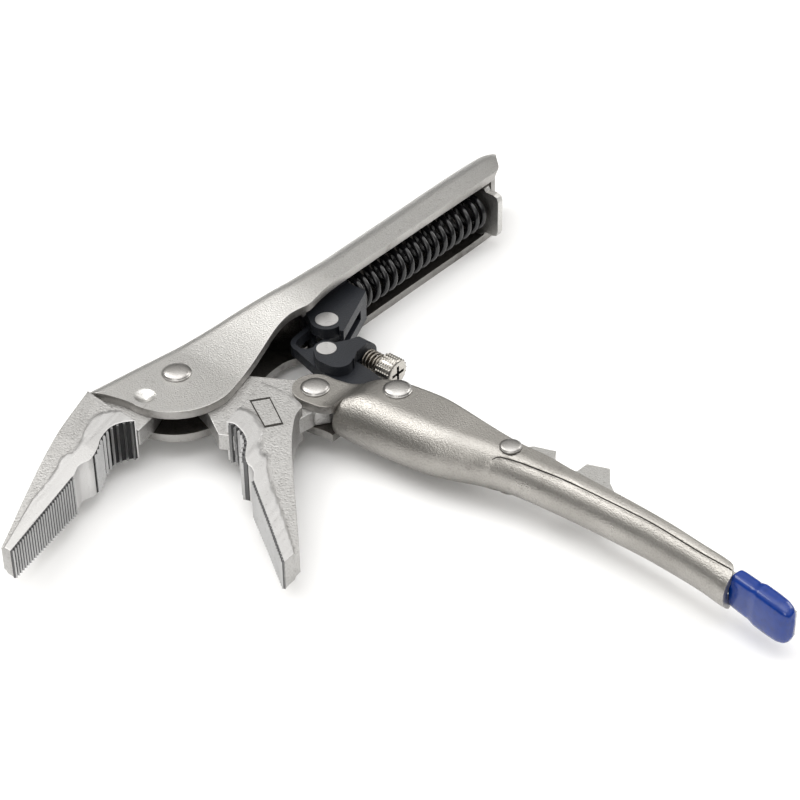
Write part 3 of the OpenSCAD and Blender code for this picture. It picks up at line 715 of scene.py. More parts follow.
def grown(
    name: str, group: bpy.types.NodeTree, inputs: dict, base: Sequence[Point2] | None = None,
    place: Matrix | None = None, shade: Shade = Shade.FLAT,
) -> bpy.types.Object:
    """Runs a geometry node group once and keeps its result as a plain mesh.

    Args:
        name: the new object's name.
        group: the node group.
        inputs: socket name to value, lengths in metres.
        base: a line in the XY plane, in millimetres, that the group reads.
        place: where the result goes in the tool's frame.
        shade: how the faces are shaded.

    Returns:
        The new object at the origin.
    """
    mesh = bpy.data.meshes.new(name)
    line = base or [(0.0, 0.0)]
    mesh.from_pydata([(x * MM, y * MM, 0.0) for x, y in line], [(i, i + 1) for i in range(len(line) - 1)], [])
    seed = bpy.data.objects.new(name + "_seed", mesh)
    bpy.context.scene.collection.objects.link(seed)
    mod = seed.modifiers.new("nodes", "NODES")
    mod.node_group = group
    for item in group.interface.items_tree:
        if item.item_type == "SOCKET" and item.in_out == "INPUT" and item.name in inputs:
            mod[item.identifier] = inputs[item.name]
    bpy.context.view_layer.update()
    result = bpy.data.meshes.new_from_object(seed.evaluated_get(bpy.context.evaluated_depsgraph_get()))
    bpy.data.objects.remove(seed)
    if place is not None:
        result.transform(place)
    result.name = name
    result.polygons.foreach_set("use_smooth", [shade is Shade.SMOOTH] * len(result.polygons))
    obj = bpy.data.objects.new(name, result)
    bpy.context.scene.collection.objects.link(obj)
    return obj


# ------------------------------------------------------------------ sub-assemblies


@dataclass
class SubAssembly:
    """A group of visual pieces that ride on CAD bodies."""

    paint: Paintbox
    log: logging.Logger = field(init=False)

    def __post_init__(self) -> None:
        self.log = LOG.getChild(type(self).__name__)

    def add(self, obj: bpy.types.Object, body: str, slot: Slot,
        replaces: Sequence[str] = ()) -> bpy.types.Object:
        """Attaches a piece to its body and hides the CAD nodes it stands for."""
        if replaces:
            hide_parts(*replaces)
        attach(obj, body)
        self.log.info("%s: %d faces, rides %s", obj.name, len(obj.data.polygons), body)
        return obj

    def dress(self, frame: dict, node: str, finish: Finish, rounding: float = 0.0, segments: int = 2) -> None:
        """Gives a shown CAD node its finish and rounded edges."""
        obj = frame["nodes"][node]
        obj.data.materials.clear()
        obj.data.materials.append(self.paint.get(finish))
        if rounding > 0.0:
            bevel(obj, rounding, 30.0, segments)
        self.log.info("%s: finish %s", node, finish.name)

    def rivet(self, name: str, node: str, at: Point2, body: str, radius: float, grip: float,
        height: float) -> None:
        """Rivet with a low dome, a fine rim and a shank, on both sides of the tool."""
        half = [(0.01, grip + height)]
        for k in range(1, 11):
            a = k / 10
            half.append((radius * 0.93 * math.sin(a * math.pi / 2),
                grip + 0.42 + (height - 0.42) * math.cos(a * math.pi / 2)))
        half += [(radius * 0.985, grip + 0.36), (radius, grip + 0.22), (radius, grip + 0.02),
            (radius - 0.1, grip)]
        half += [(2.2, grip - 0.05), (2.2, 0.0)]
        profile = half + [(r, -h) for r, h in reversed(half[:-1])]
        obj = lathe(name, profile, at, self.paint.get(RIVET))
        self.add(obj, body, Slot.RIVET, [node])


def arc_points(centre: Point2, radius: float, start: float, stop: float, count: int) -> list[Point2]:
    """Points on an arc, angles in degrees."""
    return [(centre[0] + radius * math.cos(math.radians(start + (stop - start) * i / count)),
             centre[1] + radius * math.sin(math.radians(start + (stop - start) * i / count)))
                 for i in range(count + 1)]


@dataclass
class Profile:
    """Run of a pressed channel: curves of its spine, half width and corner radius."""

    spine: Callable[[float], float]
    half: Callable[[float], float]
    corner: Callable[[float], float]

    def ring(self, at: float, foot: float, inset: float, sides: int, arcs: int, tops: int) -> list[Point2]:
        """Section at one station as (height, width) rows, from one foot over the spine to the other."""
        s = self.spine(at) - inset
        w = self.half(at) - inset
        r = min(max(self.corner(at) - inset, 0.4), w - 0.05)
        foot = min(foot, s - 0.05)
        start = 90.0
        rows: list[Point2] = []
        if foot < s - r:
            rows = [(foot + (s - r - foot) * k / sides, w) for k in range(sides)]
        else:
            start = math.degrees(math.acos(max(-1.0, min(1.0, (foot - (s - r)) / r))))
            rows = [(foot, w - r + r * math.sin(math.radians(start)))] * sides
        for k in range(arcs + 1):
            a = math.radians(start * (1 - k / arcs))
            rows.append((s - r + r * math.cos(a), w - r + r * math.sin(a)))
        last = rows[-1][1]
        middle = [(s, last - 2 * last * k / tops) for k in range(1, tops)]
        return rows + middle + [(h, -z) for h, z in reversed(rows)]


class UpperHandle(SubAssembly):
    """Pressed channel that carries the fixed jaw, the slider and the main spring."""

    SPINE = [(-26, 15.4), (-9, 13.4), (6, 11.1), (14, 9.9), (22, 8.7), (30, 7.4), (37, 6.1), (43, 4.9),
        (49, 3.9),
             (56, 3.3), (64, 3.0), (115, 3.0), (129, 3.0), (136, 3.0), (140, 2.8), (142.6, 2.2), (143.9, 1.2)]
    HALF = [(-26, 5.25), (8, 5.25), (14, 5.6), (22, 6.55), (30, 8.05), (37, 9.5), (43, 10.6), (49, 11.25),
        (56, 11.6),
            (64, 11.6), (115.5, 11.6), (129.5, 11.3), (135.5, 10.9), (139.5, 9.8), (142.3, 7.8), (143.9, 5.0)]
    CORNER = [(-26, 4.4), (6, 4.4), (14, 4.6), (22, 5.1), (30, 5.8), (37, 6.6), (43, 7.2), (49, 7.7),
        (56, 8.0),
              (136, 8.0), (139.5, 7.6), (142.3, 6.6), (143.9, 4.8)]

    def outline(self) -> list[Point2]:
        """Free edge of the plates from the front of the spine to the rear end."""
        front = [(-21.7, 13.2), (-19.9, 9.6), (-18.6, 5.6), (-17.72, 1.6)]
        belly = arc_points(P1, 17.7, 176.0, 282.0, 70)
        rest = [(10.4, -15.6), (16.7, -13.9), (23.5, -11.8), (30.5, -9.9), (36, -9.5), (39.5, -10.6),
            (42.4, -12.0),
                (46.4, -11.6), (50, -11.1), (62, -10.9), (95, -11.0), (129.5, -11.4), (132.5, -10.4),
                (136.5, -6.2),
                (140.5, -2.6), (143.4, -0.4)]
        points = soften(front, 1) + belly + soften([belly[-1], *rest], 2)[1:]
        dense = [points[0]]
        for p in points[1:]:
            q = dense[-1]
            pieces = max(1, int(math.dist(p, q) / 1.2))
            dense += [(q[0] + (p[0] - q[0]) * k / pieces, q[1] + (p[1] - q[1]) * k / pieces)
                for k in range(1, pieces + 1)]
        return dense

    def build(self, frame: dict) -> None:
        """Builds the channel, its stops and the fixed jaw's rivet, and finishes the spring's anchor."""
        run = Profile(curve(self.SPINE), curve(self.HALF), curve(self.CORNER))
        outer: list[Ring] = []
        inner: list[Ring] = []
        last = -1e9
        for x, y in self.outline():
            x = max(x, last + 0.004)
            last = x
            outer.append([(x, h, z) for h, z in run.ring(x, y, 0.0, 40, 12, 4)])
            squeeze = min(x, x * (BODY_END - PLATE_T) / BODY_END + 0.5)
            inner.append([(squeeze if x > 100 else x, h, z) for h, z in run.ring(x, y, PLATE_T, 40, 12, 4)])
        outer = [[self.dimple(p) for p in ring] for ring in outer]
        for scale in (0.7, 0.35, 0.04):
            for rings in (outer, inner):
                base = rings[-1] if scale == 0.7 else rings[-1]
                cx = sum(p[1] for p in base) / len(base)
                ratio = {0.7: 0.7, 0.35: 0.5, 0.04: 0.12}[scale]
                rings.append([(p[0] + 0.12, cx + (p[1] - cx) * ratio, p[2] * ratio) for p in base])
        # the inside faces take the near-black painted shade copy of the plating
        obj = shell("upper_channel", outer, inner, self.paint.get(NICKEL), self.paint.get(NICKEL_INSIDE_SHADE),
            self.paint.get(CUT_EDGE))
        bevel(obj, 0.3, 50.0)
        self.add(obj, "upper_handle", Slot.PLATED, ["upper_handle"])
        for name, side in (("stop_tab_near", 1), ("stop_tab_far", -1)):
            tab = box_piece(name, (41.6, -10.2, min(5.5 * side, 9.0 * side)),
                (43.1, -7.2, max(5.5 * side, 9.0 * side)),
                            self.paint.get(CUT_EDGE))
            bevel(tab, 0.25)
            self.add(tab, "upper_handle", Slot.PLATED)
        self.rivet("jaw_rivet_heads", "jaw_rivet", P1, "upper_handle", 4.25, 5.25, 1.5)
        self.dress(frame, "spring_anchor", NICKEL, 0.35)

    @staticmethod
    def dimple(p: tuple[float, float, float]) -> tuple[float, float, float]:
        """Presses the small cone that clamps the fixed jaw's tang into a point of the plates."""
        away = math.dist((p[0], p[1]), (-13.0, -0.4))
        if abs(p[2]) < 4.0 or away > 2.9:
            return p
        depth = 1.5 * min(1.0, (2.9 - away) / 2.5)
        return (p[0], p[1], p[2] - math.copysign(depth, p[2]))


class MainSpring(SubAssembly):
    """Long compression spring behind the slider."""

    def build(self, coils: bpy.types.NodeTree) -> None:
        """Builds the spring."""
        low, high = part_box("main_spring")
        length = high.x - low.x
        place = Matrix.Translation((low.x, (low.y + high.y) / 2, 0.0)) @ Matrix.Rotation(math.pi / 2, 4, "Y")
        obj = grown("main_spring_coil", coils, {
            "Radius": 5.0 * MM, "Wire": 1.8 * MM, "Length": length, "Turns": 14.0,
            "Material": self.paint.get(SPRING_BLACK)}, place=place, shade=Shade.SMOOTH)
        self.add(obj, "upper_handle", Slot.BLACK_SPRING, ["main_spring"])
        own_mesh(obj)


@dataclass(frozen=True)
class JawShape:
    """Side view of a jaw as two edges from root to tip, and where its teeth lie."""

    name: str
    grip: tuple[Point2, ...]
    back: tuple[Point2, ...]
    coarse: tuple[Point2, ...]
    fine: tuple[Point2, ...]
    turn: float
    tang: tuple[Point2, ...]
    tang_half: float
    panel: tuple[Point2, ...] = ()


FIXED = JawShape(
    "fixed_jaw",
    grip=((-23.7, -7.6), (-25.4, -5.9), (-27.6, -4.6), (-29.7, -4.2), (-31.7, -4.4), (-33.6, -5.0),
        (-35.7, -5.9),
          (-37.6, -7.4), (-40.2, -8.8), (-43.2, -9.9), (-44.8, -9.2), (-46.7, -9.0), (-48.1, -9.6),
          (-50.4, -10.9),
          (-65.2, -14.7), (-80.6, -18.7)),
    back=((-21.9, 12.9), (-29.7, 10.0), (-39, 6.5), (-49, 1.9), (-58.8, -3.2), (-68.6, -8.5),
        (-75.2, -12.2), (-80.6, -15.0)),
    coarse=((-24.4, -6.6), (-25.2, -5.8), (-27.6, -4.4), (-29.7, -3.95), (-31.7, -4.1), (-33.6, -4.7),
        (-35.9, -5.6),
            (-38.6, -7.5), (-40.9, -8.7)),
    fine=((-51.4, -11.3), (-65.4, -14.95), (-80.2, -18.8)),
    turn=90.0,
    tang=((-27, 9.4), (-24.5, 10.9), (-20.9, 10.4), (-14, 9.3), (-6.5, 5.4), (-8.3, 0), (-7.8, -3.1),
        (-16.3, -6.4),
          (-23.0, -7.6), (-24.2, -3.0)),
    tang_half=2.7,
)
MOVING = JawShape(
    "moving_jaw",
    grip=((-8.6, -27.0), (-7.6, -29.4), (-8.2, -31.6), (-8.9, -33.7), (-10.0, -35.6), (-11.4, -37.4),
        (-13.0, -38.6),
          (-14.6, -39.8), (-16.0, -41.0), (-17.4, -42.6), (-18.1, -43.8), (-18.1, -45.0), (-19.0, -46.9),
          (-20.2, -48.0),
          (-21.6, -49.0), (-30.3, -62.3), (-39.6, -76.0)),
    back=((11.5, -21.8), (12.5, -30), (11.0, -38.1), (8, -38.2), (4.6, -39.9), (-2.4, -45.3), (-10.9, -53.4),
          (-18.2, -60.8), (-25.3, -67.9), (-32.8, -75.3)),
    coarse=((-8.3, -28.6), (-8.2, -31.5), (-9.0, -33.6), (-10.1, -35.5), (-11.6, -37.3), (-13.1, -38.4),
        (-14.7, -39.5),
            (-16.2, -40.7), (-17.7, -42.5)),
    fine=((-22.2, -49.6), (-30.6, -62.5), (-39.3, -75.5)),
    turn=-90.0,
    tang=((-10.4, -25.6), (-5.8, -17.6), (-2.4, -7.2), (-7.6, 0), (-5.4, 5.4), (0, 7.6), (5.4, 5.4),
        (7.4, -2.4), (13.9, -13.4),
          (17.5, -19.4), (20.5, -24.6), (24.6, -29.8), (26.2, -33.6), (25.4, -38.2), (22, -41.2),
          (17.6, -41.6), (14, -39.2),
          (8, -38.2), (-2, -40)),
    tang_half=2.65,
    panel=((3.2, -24.7), (7.9, -28.1), (1.3, -39.2), (-3.1, -36.2)),
)


class Jaw(SubAssembly):
    """One forged jaw with its ground gripping strip and two rows of teeth."""

    ROOT_HALF = 6.6
    TIP_LOSS = 2.1
    TAPER_START = 0.3
    STEP = 0.8
    STEP_RUN = 0.7

    def build(self, shape: JawShape, body: str, ridges: bpy.types.NodeTree, node: str) -> None:
        """Builds a jaw's blade, tang, fine teeth and coarse teeth; the tooth flanks and the blade's toothed
        edge are painted near-black as shade.
        """
        count, across = 150, 22
        grip = resample(soften(shape.grip, 1), count)
        back = resample(soften(shape.back, 2), count)
        valleys = [*resample(shape.coarse, 40), *resample(shape.fine, 60)]
        verts: list[tuple[float, float, float]] = []
        for i in range(count):
            u = i / (count - 1)
            thick = self.half_thickness(u)
            width = float(np.linalg.norm(back[i] - grip[i]))
            strip = min(6.6 - 2.0 * u + 0.4 * math.sin(u * 19.0) * (1 - u), 0.62 * width)
            slope = self.STEP_RUN
            for j in range(across):
                v = (j / (across - 1)) ** 1.15
                p = grip[i] + (back[i] - grip[i]) * v
                s = v * width
                t = min(1.0, max(0.0, (s - strip) / slope))
                ease = t * t * (3 - 2 * t)
                low = thick - self.STEP
                verts.append((p[0], p[1], thick + (low - thick) * min(1.0, ease)))
        total = len(verts)
        verts += [(x, y, -z) for x, y, z in verts]
        faces: list[tuple[int, ...]] = []
        index: list[int] = []
        for i in range(count - 1):
            u = i / (count - 1)
            for j in range(across - 1):
                a = i * across + j
                quad = (a, a + 1, a + across + 1, a + across)
                ground = 1 if verts[a][2] > self.half_thickness(u) - 0.35 else 0
                faces += [quad, tuple(total + k for k in reversed(quad))]
                index += [ground, ground]
            a, b = i * across, (i + 1) * across
            faces.append((a, b, total + b, total + a))
            # edge faces along the teeth take the near-black painted shade of the tooth valleys
            toothed = min(math.dist(grip[i], q) for q in valleys) < 1.1
            index.append(2 if toothed else 1)
            a, b = a + across - 1, b + across - 1
            faces.append((a, total + a, total + b, b))
            index.append(0)
        for i in (0, count - 1):
            for j in range(across - 1):
                a = i * across + j
                faces.append((a, a + 1, total + a + 1, total + a))
                index.append(0)
        blade = mesh_object(f"{shape.name}_blade", verts, faces,
                            [self.paint.get(FORGED), self.paint.get(GROUND), self.paint.get(TOOTH_ROOT_SHADE)],
                            index)
        bevel(blade, 0.28, 48.0)
        self.add(blade, body, Slot.FORGED, [node])
        self.tang(shape, body)
        if shape.panel:
            self.recess(shape, body)
        for part, line, number, radius, a, b in (
            ("fine_teeth", shape.fine, 27, 0.58, 12.4, 9.3),
            ("coarse_teeth", shape.coarse, 10, 1.02, 13.1, 13.0)):
            flank = [(float(x), float(y)) for x, y in resample(line, 60)]
            crest = self.shifted(flank, shape.turn, 0.72 * radius)
            # flanks: full ridges in near-black painted shade; crests: smaller ridges on top in the steel's
            # own colour
            for layer, points, size, finish in (
                ("flanks", flank, radius, TOOTH_FLANK_SHADE), ("crests", crest, 0.42 * radius, TOOTH)):
                row = grown(f"{shape.name}_{part}_{layer}", ridges, {
                    "Count": number, "Radius": size * MM, "Length A": a * MM, "Length B": b * MM,
                    "Turn": math.radians(shape.turn), "Material": self.paint.get(finish)}, base=points)
                self.add(row, body, Slot.FORGED)

    def half_thickness(self, along: float) -> float:
        """Half the blade's thickness at a share of its length from the root."""
        return self.ROOT_HALF - self.TIP_LOSS * max(0.0,
            (along - self.TAPER_START) / (1.0 - self.TAPER_START))

    @staticmethod
    def shifted(line: Sequence[Point2], turn: float, distance: float) -> list[Point2]:
        """Moves a line sideways, to the side its own direction faces when turned."""
        c, n = math.cos(math.radians(turn)), math.sin(math.radians(turn))
        moved = []
        for k, (x, y) in enumerate(line):
            (ax, ay), (bx, by) = line[max(k - 1, 0)], line[min(k + 1, len(line) - 1)]
            size = math.hypot(bx - ax, by - ay)
            tx, ty = (bx - ax) / size, (by - ay) / size
            moved.append((x + distance * (c * tx - n * ty), y + distance * (n * tx + c * ty)))
        return moved

    def recess(self, shape: JawShape, body: str) -> None:
        """Plain four-sided panel with a near-black border of painted shade, flush with the flat of the jaw.
        """
        cx = sum(p[0] for p in shape.panel) / 4
        cy = sum(p[1] for p in shape.panel) / 4
        for label, grow, top, finish in (("border", 1.0, 5.84, RECESS_SHADE), ("floor", 0.86, 5.88, FORGED)):
            ring = [(cx + (x - cx) * grow, cy + (y - cy) * grow) for x, y in shape.panel]
            verts = [(x, y, top) for x, y in ring] + [(x, y, 5.0) for x, y in ring]
            faces: list[tuple[int, ...]] = [(0, 1, 2, 3), (7, 6, 5, 4)]
            faces += [(i, 4 + i, 4 + (i + 1) % 4, (i + 1) % 4) for i in range(4)]
            panel = mesh_object(f"{shape.name}_panel_{label}", verts, faces, [self.paint.get(finish)],
                shade=Shade.FLAT)
            self.add(panel, body, Slot.FORGED)

    def tang(self, shape: JawShape, body: str) -> None:
        """Flat tang between the plates."""
        outline = shape.tang
        n = len(outline)
        half = shape.tang_half
        verts = [(x, y, half) for x, y in outline] + [(x, y, -half) for x, y in outline]
        faces: list[tuple[int, ...]] = [tuple(range(n)), tuple(range(2 * n - 1, n - 1, -1))]
        faces += [(i, (i + 1) % n, n + (i + 1) % n, n + i) for i in range(n)]
        obj = mesh_object(f"{shape.name}_tang", verts, faces, [self.paint.get(FORGED)], shade=Shade.FLAT)
        bevel(obj, 0.3, 20.0)
        self.add(obj, body, Slot.FORGED)


class LowerHandle(SubAssembly):
    """Pressed grip with its two ears, rivets and the release lever."""

    BACK = [(-44.5, 15.0), (-48.5, 15.3), (-52, 15.7), (-60, 16.2), (-67, 16.9), (-75, 18.1), (-82, 20.3),
        (-89, 22.8),
            (-96, 24.3), (-105, 25.3), (-125, 26.2), (-138.6, 26.3), (-150.6, 25.7), (-159.6, 24.8),
            (-167.6, 23.6)]
    OPEN = [(-44.5, 28.2), (-47, 30.2), (-49.6, 31.6), (-54.6, 33.4), (-60, 34.4), (-69, 35.4), (-79, 34.9),
        (-94, 34.4),
            (-104, 34.9), (-112, 34.4), (-127.6, 34.0), (-142.6, 33.2), (-156.1, 31.6), (-163.6, 30.7),
            (-165.6, 30.2),
            (-167.0, 28.9), (-167.6, 27.4)]
    HALF = [(-28, 5.25), (-40.5, 5.25), (-43, 5.6), (-46, 7.1), (-49.5, 8.2), (-54, 8.6), (-60, 8.6),
        (-67, 8.5), (-75, 8.25),
            (-82, 7.7), (-89, 7.2), (-96, 6.85), (-105, 6.7), (-167.6, 6.7)]

    def build(self, frame: dict) -> None:
        """Builds the grip, the ears, the rivets and the release lever."""
        # skin: darker painted-shade copy of the plating; inside: near-black painted shade between the plates
        skin, inside, edge = (self.paint.get(f) for f in (NICKEL_GRIP_SHADED, NICKEL_INSIDE_SHADE, CUT_EDGE))
        back, front, half = curve(self.BACK), curve(self.OPEN), curve(self.HALF)
        run = Profile(lambda y: -back(y), half, lambda y: min(half(y) - 0.1, 8.3))
        outer: list[Ring] = []
        inner: list[Ring] = []
        line = curve([(-91.3, 22.0), (-91.9, 25.7), (-93.8, 27.3), (-104.6, 29.3), (-116.5, 30.3),
            (-137, 30.6), (-158, 29.0),
                      (-166, 28.4), (-168, 28.2)])
        stations = [-44.5 - 0.75 * k for k in range(161)] + [-165.2, -165.8, -166.3, -166.7, -167.0,
            -167.25, -167.45, -167.6]
        for y in stations:
            foot = -front(y)
            proud = [(-h, y, z) for h, z in run.ring(y, foot, 0.0, 14, 18, 3)]
            pressed = [(-h, y, z) for h, z in run.ring(y, foot, 0.32, 14, 18, 3)]
            inside_line = line(y) if y < -91.3 else -1.0
            outer.append([b if a[0] < inside_line else a for a, b in zip(proud, pressed)])
            inner.append([(-h, y, z) for h, z in run.ring(y, foot, PLATE_T, 14, 18, 3)])
        path = []
        for k in range(100):
            y = -92.0 - 0.755 * k
            ring = sorted((-h, z) for h, z in run.ring(y, -front(y), 0.0, 14, 18, 3) if z > 2.0)
            path.append((line(y), y, float(np.interp(line(y), [q[0] for q in ring], [q[1] for q in ring]))))
        # near-black line of painted shade along the step of the pressed grip
        self.add(seam("grip_step_shade", path, 0.17, self.paint.get(RECESS_SHADE)), "lower_handle", Slot.PLATED)
        grip = shell("grip", outer, inner, skin, inside, edge)
        bevel(grip, 0.35, 50.0)
        self.add(grip, "lower_handle", Slot.PLATED, ["lower_handle"])
        left = curve([(-34.6, 12.9), (-39.2, 13.4), (-42.8, 14.4), (-44.5, 14.9)])
        right = curve([(-34.6, 25.7), (-40.5, 26.8), (-44.5, 28.2)])
        for name, side in (("ear_near", 1), ("ear_far", -1)):
            tops: list[Ring] = []
            bottoms: list[Ring] = []
            rows = [P2[1] + 6.4 * math.cos(math.radians(4 + 86 * k / 24)) for k in range(25)]
            rows += [P2[1] - 9.9 * k / 18 for k in range(1, 19)]
            for y in rows:
                if y > P2[1]:
                    reach = math.sqrt(max(0.0, 6.4**2 - (y - P2[1]) ** 2))
                    lo, hi = P2[0] - reach, P2[0] + reach
                else:
                    lo, hi = left(y), right(y)
                line = [lo + (hi - lo) * k / 20 for k in range(21)]
                tops.append([(x, y, side * half(y)) for x in line])
                bottoms.append([(x, y, side * (half(y) - PLATE_T)) for x in line])
            ear = shell(name, tops, bottoms, skin, inside, edge)
            bevel(ear, 0.3, 50.0)
            self.add(ear, "lower_handle", Slot.PLATED)
        self.rivet("handle_rivet_heads", "handle_rivet", P2, "lower_handle", 4.15, 5.25, 1.5)
        self.rivet("link_rivet_heads", "link_rivet", P3, "lower_handle", 4.1, 8.6, 1.5)
        self.rivet("lever_rivet_heads", "lever_rivet", P4, "lower_handle", 3.1, 7.0, 1.1)
        self.dress(frame, "lever_spring", SPRING_BARE)
        self.dress(frame, "release_lever", NICKEL, 0.25)
        self.tip()

    def tip(self) -> None:
        """Dipped coating on the end of the release lever, narrower at its neck."""
        slope = math.radians(11.0)
        base = (29.5, GRIP_END - 1.3)
        table = [(1.4, 2.5, 5.1), (1.1, 2.75, 5.4), (-0.5, 2.85, 5.55), (-3.6, 2.9, 5.65),
            (-5.4, 2.88, 5.7), (-6.6, 3.08, 5.98),
                 (-7.6, 3.22, 6.2), (-11, 3.25, 6.2), (-14.4, 3.1, 6.1), (-16.6, 2.65, 5.6),
                 (-18.0, 1.8, 4.6), (-18.8, 0.6, 2.8)]
        heights = [-k * 0.25 + 1.4 for k in range(82)]
        thick = curve([(t[0], t[1]) for t in table])
        wide = curve([(t[0], t[2]) for t in table])
        steps = 56
        verts: list[tuple[float, float, float]] = []
        for h in heights:
            h = max(h, -18.8)
            a, b = thick(h), wide(h)
            for k in range(steps):
                q = 2 * math.pi * k / steps
                cx, sx = math.cos(q), math.sin(q)
                x = a * math.copysign(abs(cx) ** 0.62, cx)
                z = b * math.copysign(abs(sx) ** 0.62, sx)
                y = h + (0.12 * x if h < -6 else 0.0)
                verts.append((base[0] + x * math.cos(slope) + y * math.sin(slope),
                    base[1] - x * math.sin(slope) + y * math.cos(slope), z))
        rings = len(heights)
        faces: list[tuple[int, ...]] = [
            (i * steps + k, i * steps + (k + 1) % steps, (i + 1) * steps + (k + 1) % steps,
            (i + 1) * steps + k)
            for i in range(rings - 1) for k in range(steps)]
        faces += [tuple(range(steps)), tuple(range((rings - 1) * steps, rings * steps))]
        obj = mesh_object("coated_tip", verts, faces, [self.paint.get(BLUE)])
        self.add(obj, "release_lever", Slot.BLUE, ["lever_tip"])


class AdjustingGear(SubAssembly):
    """Slider, toggle link, cam block and the small adjusting screw."""

    def build(self, frame: dict, coils: bpy.types.NodeTree, knurls: bpy.types.NodeTree) -> None:
        """Finishes the black parts and builds the screw and its spring."""
        for node in ("slider", "cam_block", "toggle_link"):
            self.dress(frame, node, OXIDE, 0.4, 3)
        for node in ("slider_pin", "cam_pin"):
            self.dress(frame, node, PIN, 0.2)
        low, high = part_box("adjusting_screw")
        x = (low.x + high.x) / 2
        head = 5.6 * MM
        turn = Matrix.Rotation(math.pi / 2, 4, "X")
        spring_low, spring_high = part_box("screw_spring")
        coil = grown("screw_spring_coil", coils, {
            "Radius": 2.75 * MM, "Wire": 0.75 * MM, "Length": spring_high.y - spring_low.y, "Turns": 3.0,
            "Material": self.paint.get(SPRING_BARE)},
            place=Matrix.Translation((x, spring_high.y, 0.0)) @ turn, shade=Shade.SMOOTH)
        self.add(coil, "cam_block", Slot.BARE_SPRING, ["screw_spring"])
        end = low.y / MM
        profile = [(0.01, 0.0), (3.3, 0.0), (3.9, 0.3), (4.15, 0.8), (4.15, 4.9), (3.8, 5.4), (2.4, 5.6),
                   (2.0, 6.0), (1.75, 6.4), (1.75, high.y / MM - end), (0.01, high.y / MM - end)]
        body = lathe("screw_body", profile, (0.0, 0.0), self.paint.get(SCREW), 64)
        # the cross recess takes the near-black painted shade
        body.data.materials.append(self.paint.get(RECESS_SHADE))
        body = cut_cross(body, 5.0, 0.95, 1.3)
        body.data.transform(Matrix.Translation((x, low.y, 0.0)) @ Matrix.Rotation(-math.pi / 2, 4, "X"))
        self.add(body, "adjusting_screw", Slot.SCREW, ["adjusting_screw"])
        grip = grown("screw_knurling", knurls, {
            "Round": 20, "Rows": 5, "Radius": 4.12 * MM, "Length": 4.1 * MM, "Size": 0.52 * MM,
            "Material": self.paint.get(SCREW)}, place=Matrix.Translation((x, low.y + head / 2, 0.0)) @ turn)
        self.add(grip, "adjusting_screw", Slot.SCREW)
        thread = grown("screw_thread", coils, {
            "Radius": 1.7 * MM, "Wire": 0.55 * MM, "Length": 10.5 * MM, "Turns": 14.0,
            "Material": self.paint.get(THREAD)},
            place=Matrix.Translation((x, high.y, 0.0)) @ turn, shade=Shade.SMOOTH)
        self.add(thread, "adjusting_screw", Slot.SCREW)


# ------------------------------------------------------------------ studio


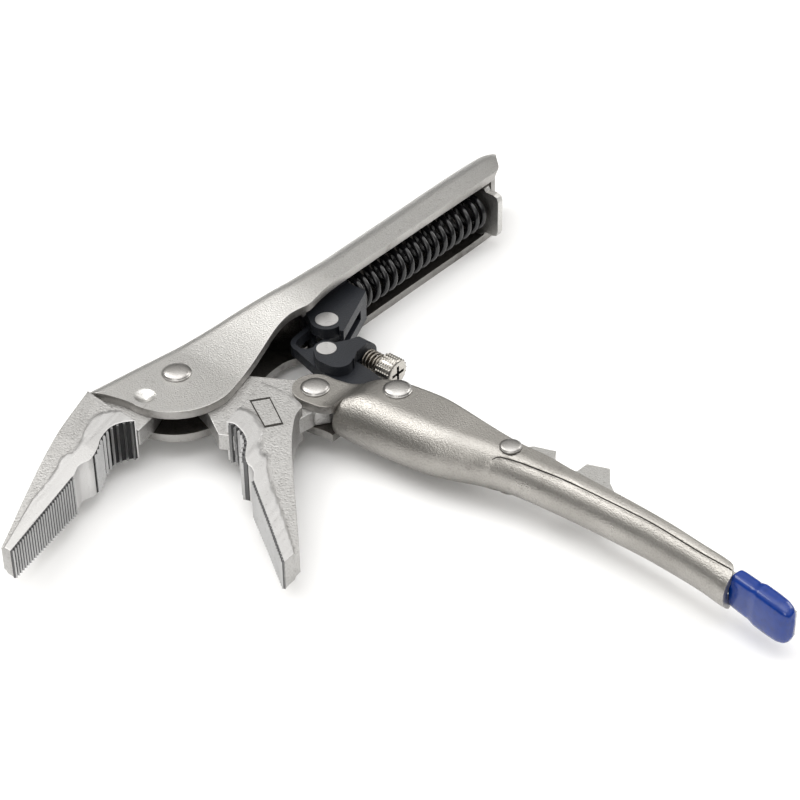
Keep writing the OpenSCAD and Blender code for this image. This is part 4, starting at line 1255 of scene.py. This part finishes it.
class Studio:
    """Pale floor, soft lights and the camera."""

    def build(self, floor_z: float) -> None:
        """Sets up the floor, the sky, the lights and the camera."""
        self.floor(floor_z)
        self.sky()
        for name, place, target, size, power in (
            ("key", (-0.15, 0.75, 0.9), (0.05, -0.05, 0.0), 0.6, 4.5),
            ("fill", (-0.9, -0.5, 0.55), (0.0, -0.05, 0.0), 0.5, 2.0),
            ("rim", (0.9, -0.35, 0.5), (0.05, -0.08, 0.0), 0.5, 2.5),
        ):
            self.light(name, place, target, size, power)
        self.camera()

    @staticmethod
    def floor(z: float) -> None:
        """Plain pale floor under the tool."""
        mesh = bpy.data.meshes.new("floor")
        s = 3.0
        mesh.from_pydata([(-s, -s, z), (s, -s, z), (s, s, z), (-s, s, z)], [], [(0, 1, 2, 3)])
        mat = bpy.data.materials.new("floor_paper")
        mat.use_nodes = True
        bsdf = mat.node_tree.nodes["Principled BSDF"]
        bsdf.inputs["Base Color"].default_value = (0.93, 0.93, 0.93, 1.0)
        bsdf.inputs["Roughness"].default_value = 0.9
        mesh.materials.append(mat)
        obj = bpy.data.objects.new("floor", mesh)
        bpy.context.scene.collection.objects.link(obj)
        obj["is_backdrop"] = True

    @staticmethod
    def sky() -> None:
        """Soft sky: bright above, grey towards the horizon, with darker bands for the metal to mirror."""
        world = bpy.data.worlds.new("studio")
        bpy.context.scene.world = world
        world.use_nodes = True
        tree = world.node_tree
        tree.nodes.clear()
        g = Graph(tree)
        coords = g.add("ShaderNodeTexCoord")
        parts = g.add("ShaderNodeSeparateXYZ", links={0: coords.outputs["Generated"]})
        ramp_node = g.add("ShaderNodeValToRGB", links={0: parts.outputs[2]})
        stops = ramp_node.color_ramp
        stops.elements[0].position, stops.elements[0].color = 0.0, (0.10, 0.098, 0.095, 1)
        stops.elements[1].position, stops.elements[1].color = 1.0, (1.0, 1.0, 1.0, 1)
        for at, tone in ((0.12, 0.035), (0.3, 0.06), (0.46, 0.17), (0.62, 0.30), (0.72, 0.22), (0.84, 0.60)):
            item = stops.elements.new(at)
            item.color = (tone, tone * 0.985, tone * 0.96, 1)
        back = g.add("ShaderNodeBackground", {"Strength": 2.5}, {"Color": ramp_node.outputs[0]})
        out = g.add("ShaderNodeOutputWorld")
        tree.links.new(back.outputs[0], out.inputs[0])

    @staticmethod
    def light(name: str, place: Sequence[float], target: Sequence[float], size: float, power: float) -> None:
        """Soft square light aimed at a point."""
        data = bpy.data.lights.new(name, "AREA")
        data.size = size
        data.energy = power
        data.color = (1.0, 0.99, 0.97)
        obj = bpy.data.objects.new(name, data)
        obj.location = place
        obj.rotation_euler = (Vector(target) - Vector(place)).to_track_quat("-Z", "Y").to_euler()
        bpy.context.scene.collection.objects.link(obj)

    @staticmethod
    def camera() -> None:
        """Long lens from the jaws' side, looking down at the open tool."""
        data = bpy.data.cameras.new("camera")
        data.lens, data.sensor_width = 112.5, 36.0
        data.clip_start, data.clip_end = 0.01, 20.0
        obj = bpy.data.objects.new("camera", data)
        right, up, back = (0.64235, -0.76632, -0.01182), (0.47784, 0.38839, 0.78791), (-0.59921, -0.51177,
            0.61566)
        turned = Matrix((right, up, back)).transposed().to_4x4()
        obj.matrix_world = Matrix.Translation((-0.382173, -0.408372, 0.428734)) @ turned
        bpy.context.scene.collection.objects.link(obj)
        scene = bpy.context.scene
        scene.camera = obj
        scene.view_settings.view_transform = "Standard"
        scene.view_settings.look = "None"
        scene.view_settings.exposure = 0.1


def main() -> None:
    """Loads the frame, builds every visible piece, and lights it."""
    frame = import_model()
    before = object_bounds()
    paint = Paintbox()
    ridges, coils, knurls = ridge_group(), coil_group(), knurl_group()
    UpperHandle(paint).build(frame)
    MainSpring(paint).build(coils)
    Jaw(paint).build(FIXED, "upper_handle", ridges, "fixed_jaw")
    Jaw(paint).build(MOVING, "moving_jaw", ridges, "moving_jaw")
    LowerHandle(paint).build(frame)
    AdjustingGear(paint).build(frame, coils, knurls)
    Studio().build(before[0].z)


if __name__ == "__main__":
    main()
